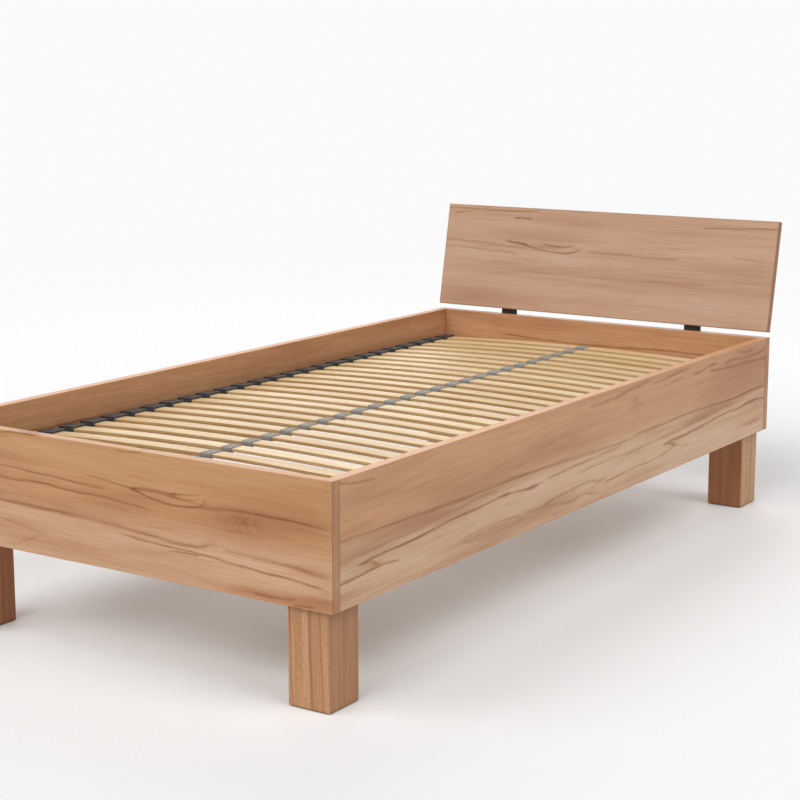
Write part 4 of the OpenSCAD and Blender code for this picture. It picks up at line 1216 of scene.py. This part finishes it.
def pale_floor():
    """A matt, almost white floor that fades out far from the middle."""
    material, tree, shader = finish_named("pale_floor")
    shader.inputs["Base Color"].default_value = linear("#EDEDEE")
    shader.inputs["Roughness"].default_value = 0.7
    shader.inputs["Specular IOR Level"].default_value = 0.2
    away = add(tree, VECTOR, {0: add(tree, COORDINATES).outputs["Object"]}, operation="LENGTH")
    fade = add(tree, RANGE, {"Value": away.outputs["Value"], **FADE}, **SMOOTH)
    clear = add(tree, "ShaderNodeBsdfTransparent")
    mixed = add(tree, "ShaderNodeMixShader", {0: fade, 1: shader, 2: clear})
    output = next(n for n in tree.nodes if n.type == "OUTPUT_MATERIAL")
    tree.links.new(mixed.outputs[0], output.inputs["Surface"])
    return material


points, faces = floor_surface(FLOOR_RADIUS, rings=6, sides=96)
mesh = bpy.data.meshes.new("floor")
mesh.from_pydata(points.tolist(), [], faces)
mesh.materials.append(pale_floor())
floor = bpy.data.objects.new("floor", mesh)
scene.collection.objects.link(floor)
print("floor:", len(points), "points,", len(faces), "faces")

# %% [markdown]
# ## The world and the lamps
# The world has two strengths, told apart by the Light Path node: the camera and reflections see a pale
# backdrop, and the bed gets only a little even light from it. The rest comes from four broad lamps. Sun
# lamps light every place alike, and a wide angle gives them the soft shadows of a large lamp close by.
# The right and the front lamp are the strongest, so the two faces of a corner differ a little.

# %% The world
EVEN_LIGHT = 0.12  # the strength that lights the bed, where 1 is white
world = bpy.data.worlds.new("studio")
scene.world = world
world.use_nodes = True
tree = world.node_tree
tree.nodes.clear()
path = add(tree, "ShaderNodeLightPath").outputs
seen = add(tree, MATH, {0: path["Is Camera Ray"], 1: path["Is Glossy Ray"]}, operation="ADD")
seen = add(tree, MATH, {0: seen, 1: path["Is Transmission Ray"]}, operation="ADD", use_clamp=True)
light = add(tree, "ShaderNodeBackground", {"Color": linear("#FFFFFF"), "Strength": EVEN_LIGHT})
backdrop = add(tree, "ShaderNodeBackground", {"Color": linear("#FAFAFA"), "Strength": 1.0})
both = add(tree, "ShaderNodeMixShader", {0: seen, 1: light, 2: backdrop})
add(tree, "ShaderNodeOutputWorld", {"Surface": both})
print("world:", world.name, "with an even light of", EVEN_LIGHT)


# %% The lamps
def studio_lamp(name, azimuth, elevation, spread, strength):
    """A broad, even lamp far away. Azimuth 0 is in front of the foot end and 90 on the right, spread is
    the width it is seen under, all in degrees; strength is in watts per square metre."""
    lamp = bpy.data.lights.new(name, "SUN")
    lamp.angle, lamp.energy = math.radians(spread), strength
    turn, tilt = math.radians(azimuth), math.radians(elevation)
    back = Vector((math.sin(turn) * math.cos(tilt), -math.cos(turn) * math.cos(tilt), math.sin(tilt)))
    holder = bpy.data.objects.new(name, lamp)
    holder.rotation_euler = back.to_track_quat("Z", "Y").to_euler()
    scene.collection.objects.link(holder)


studio_lamp("right_lamp", 90, 50, 40, 1.5)
studio_lamp("front_lamp", 0, 38, 35, 1.45)
studio_lamp("front_left_lamp", -45, 45, 35, 0.9)
studio_lamp("back_left_lamp", 215, 32, 40, 0.75)

# %% [markdown]
# ## The camera
# The bed is seen from its right foot corner, from the height of a standing person's chest, through a long
# lens that keeps the far end from shrinking much. The camera object has a place and a turn: tipped up
# from straight down to just below level, then turned to the left about the upright axis.

# %% The camera
FILM, LENS = 36.0, 83.46  # millimetres: the film's width and the focal length
EYE = (2.498, -3.7775, 1.2634)  # metres
DOWNWARDS, LEFTWARDS = 10.89, 33.72  # degrees below level, and from straight ahead
camera = bpy.data.cameras.new("camera")
camera.sensor_width, camera.lens = FILM, LENS
eye = bpy.data.objects.new("camera", camera)
eye.location = EYE
eye.rotation_euler = (math.radians(90 - DOWNWARDS), 0, math.radians(LEFTWARDS))
scene.collection.objects.link(eye)
scene.camera = eye
scene.view_settings.view_transform = "Standard"
print("lens in mm:", round(camera.lens, 2), "eye height in m:", round(eye.location.z, 2))
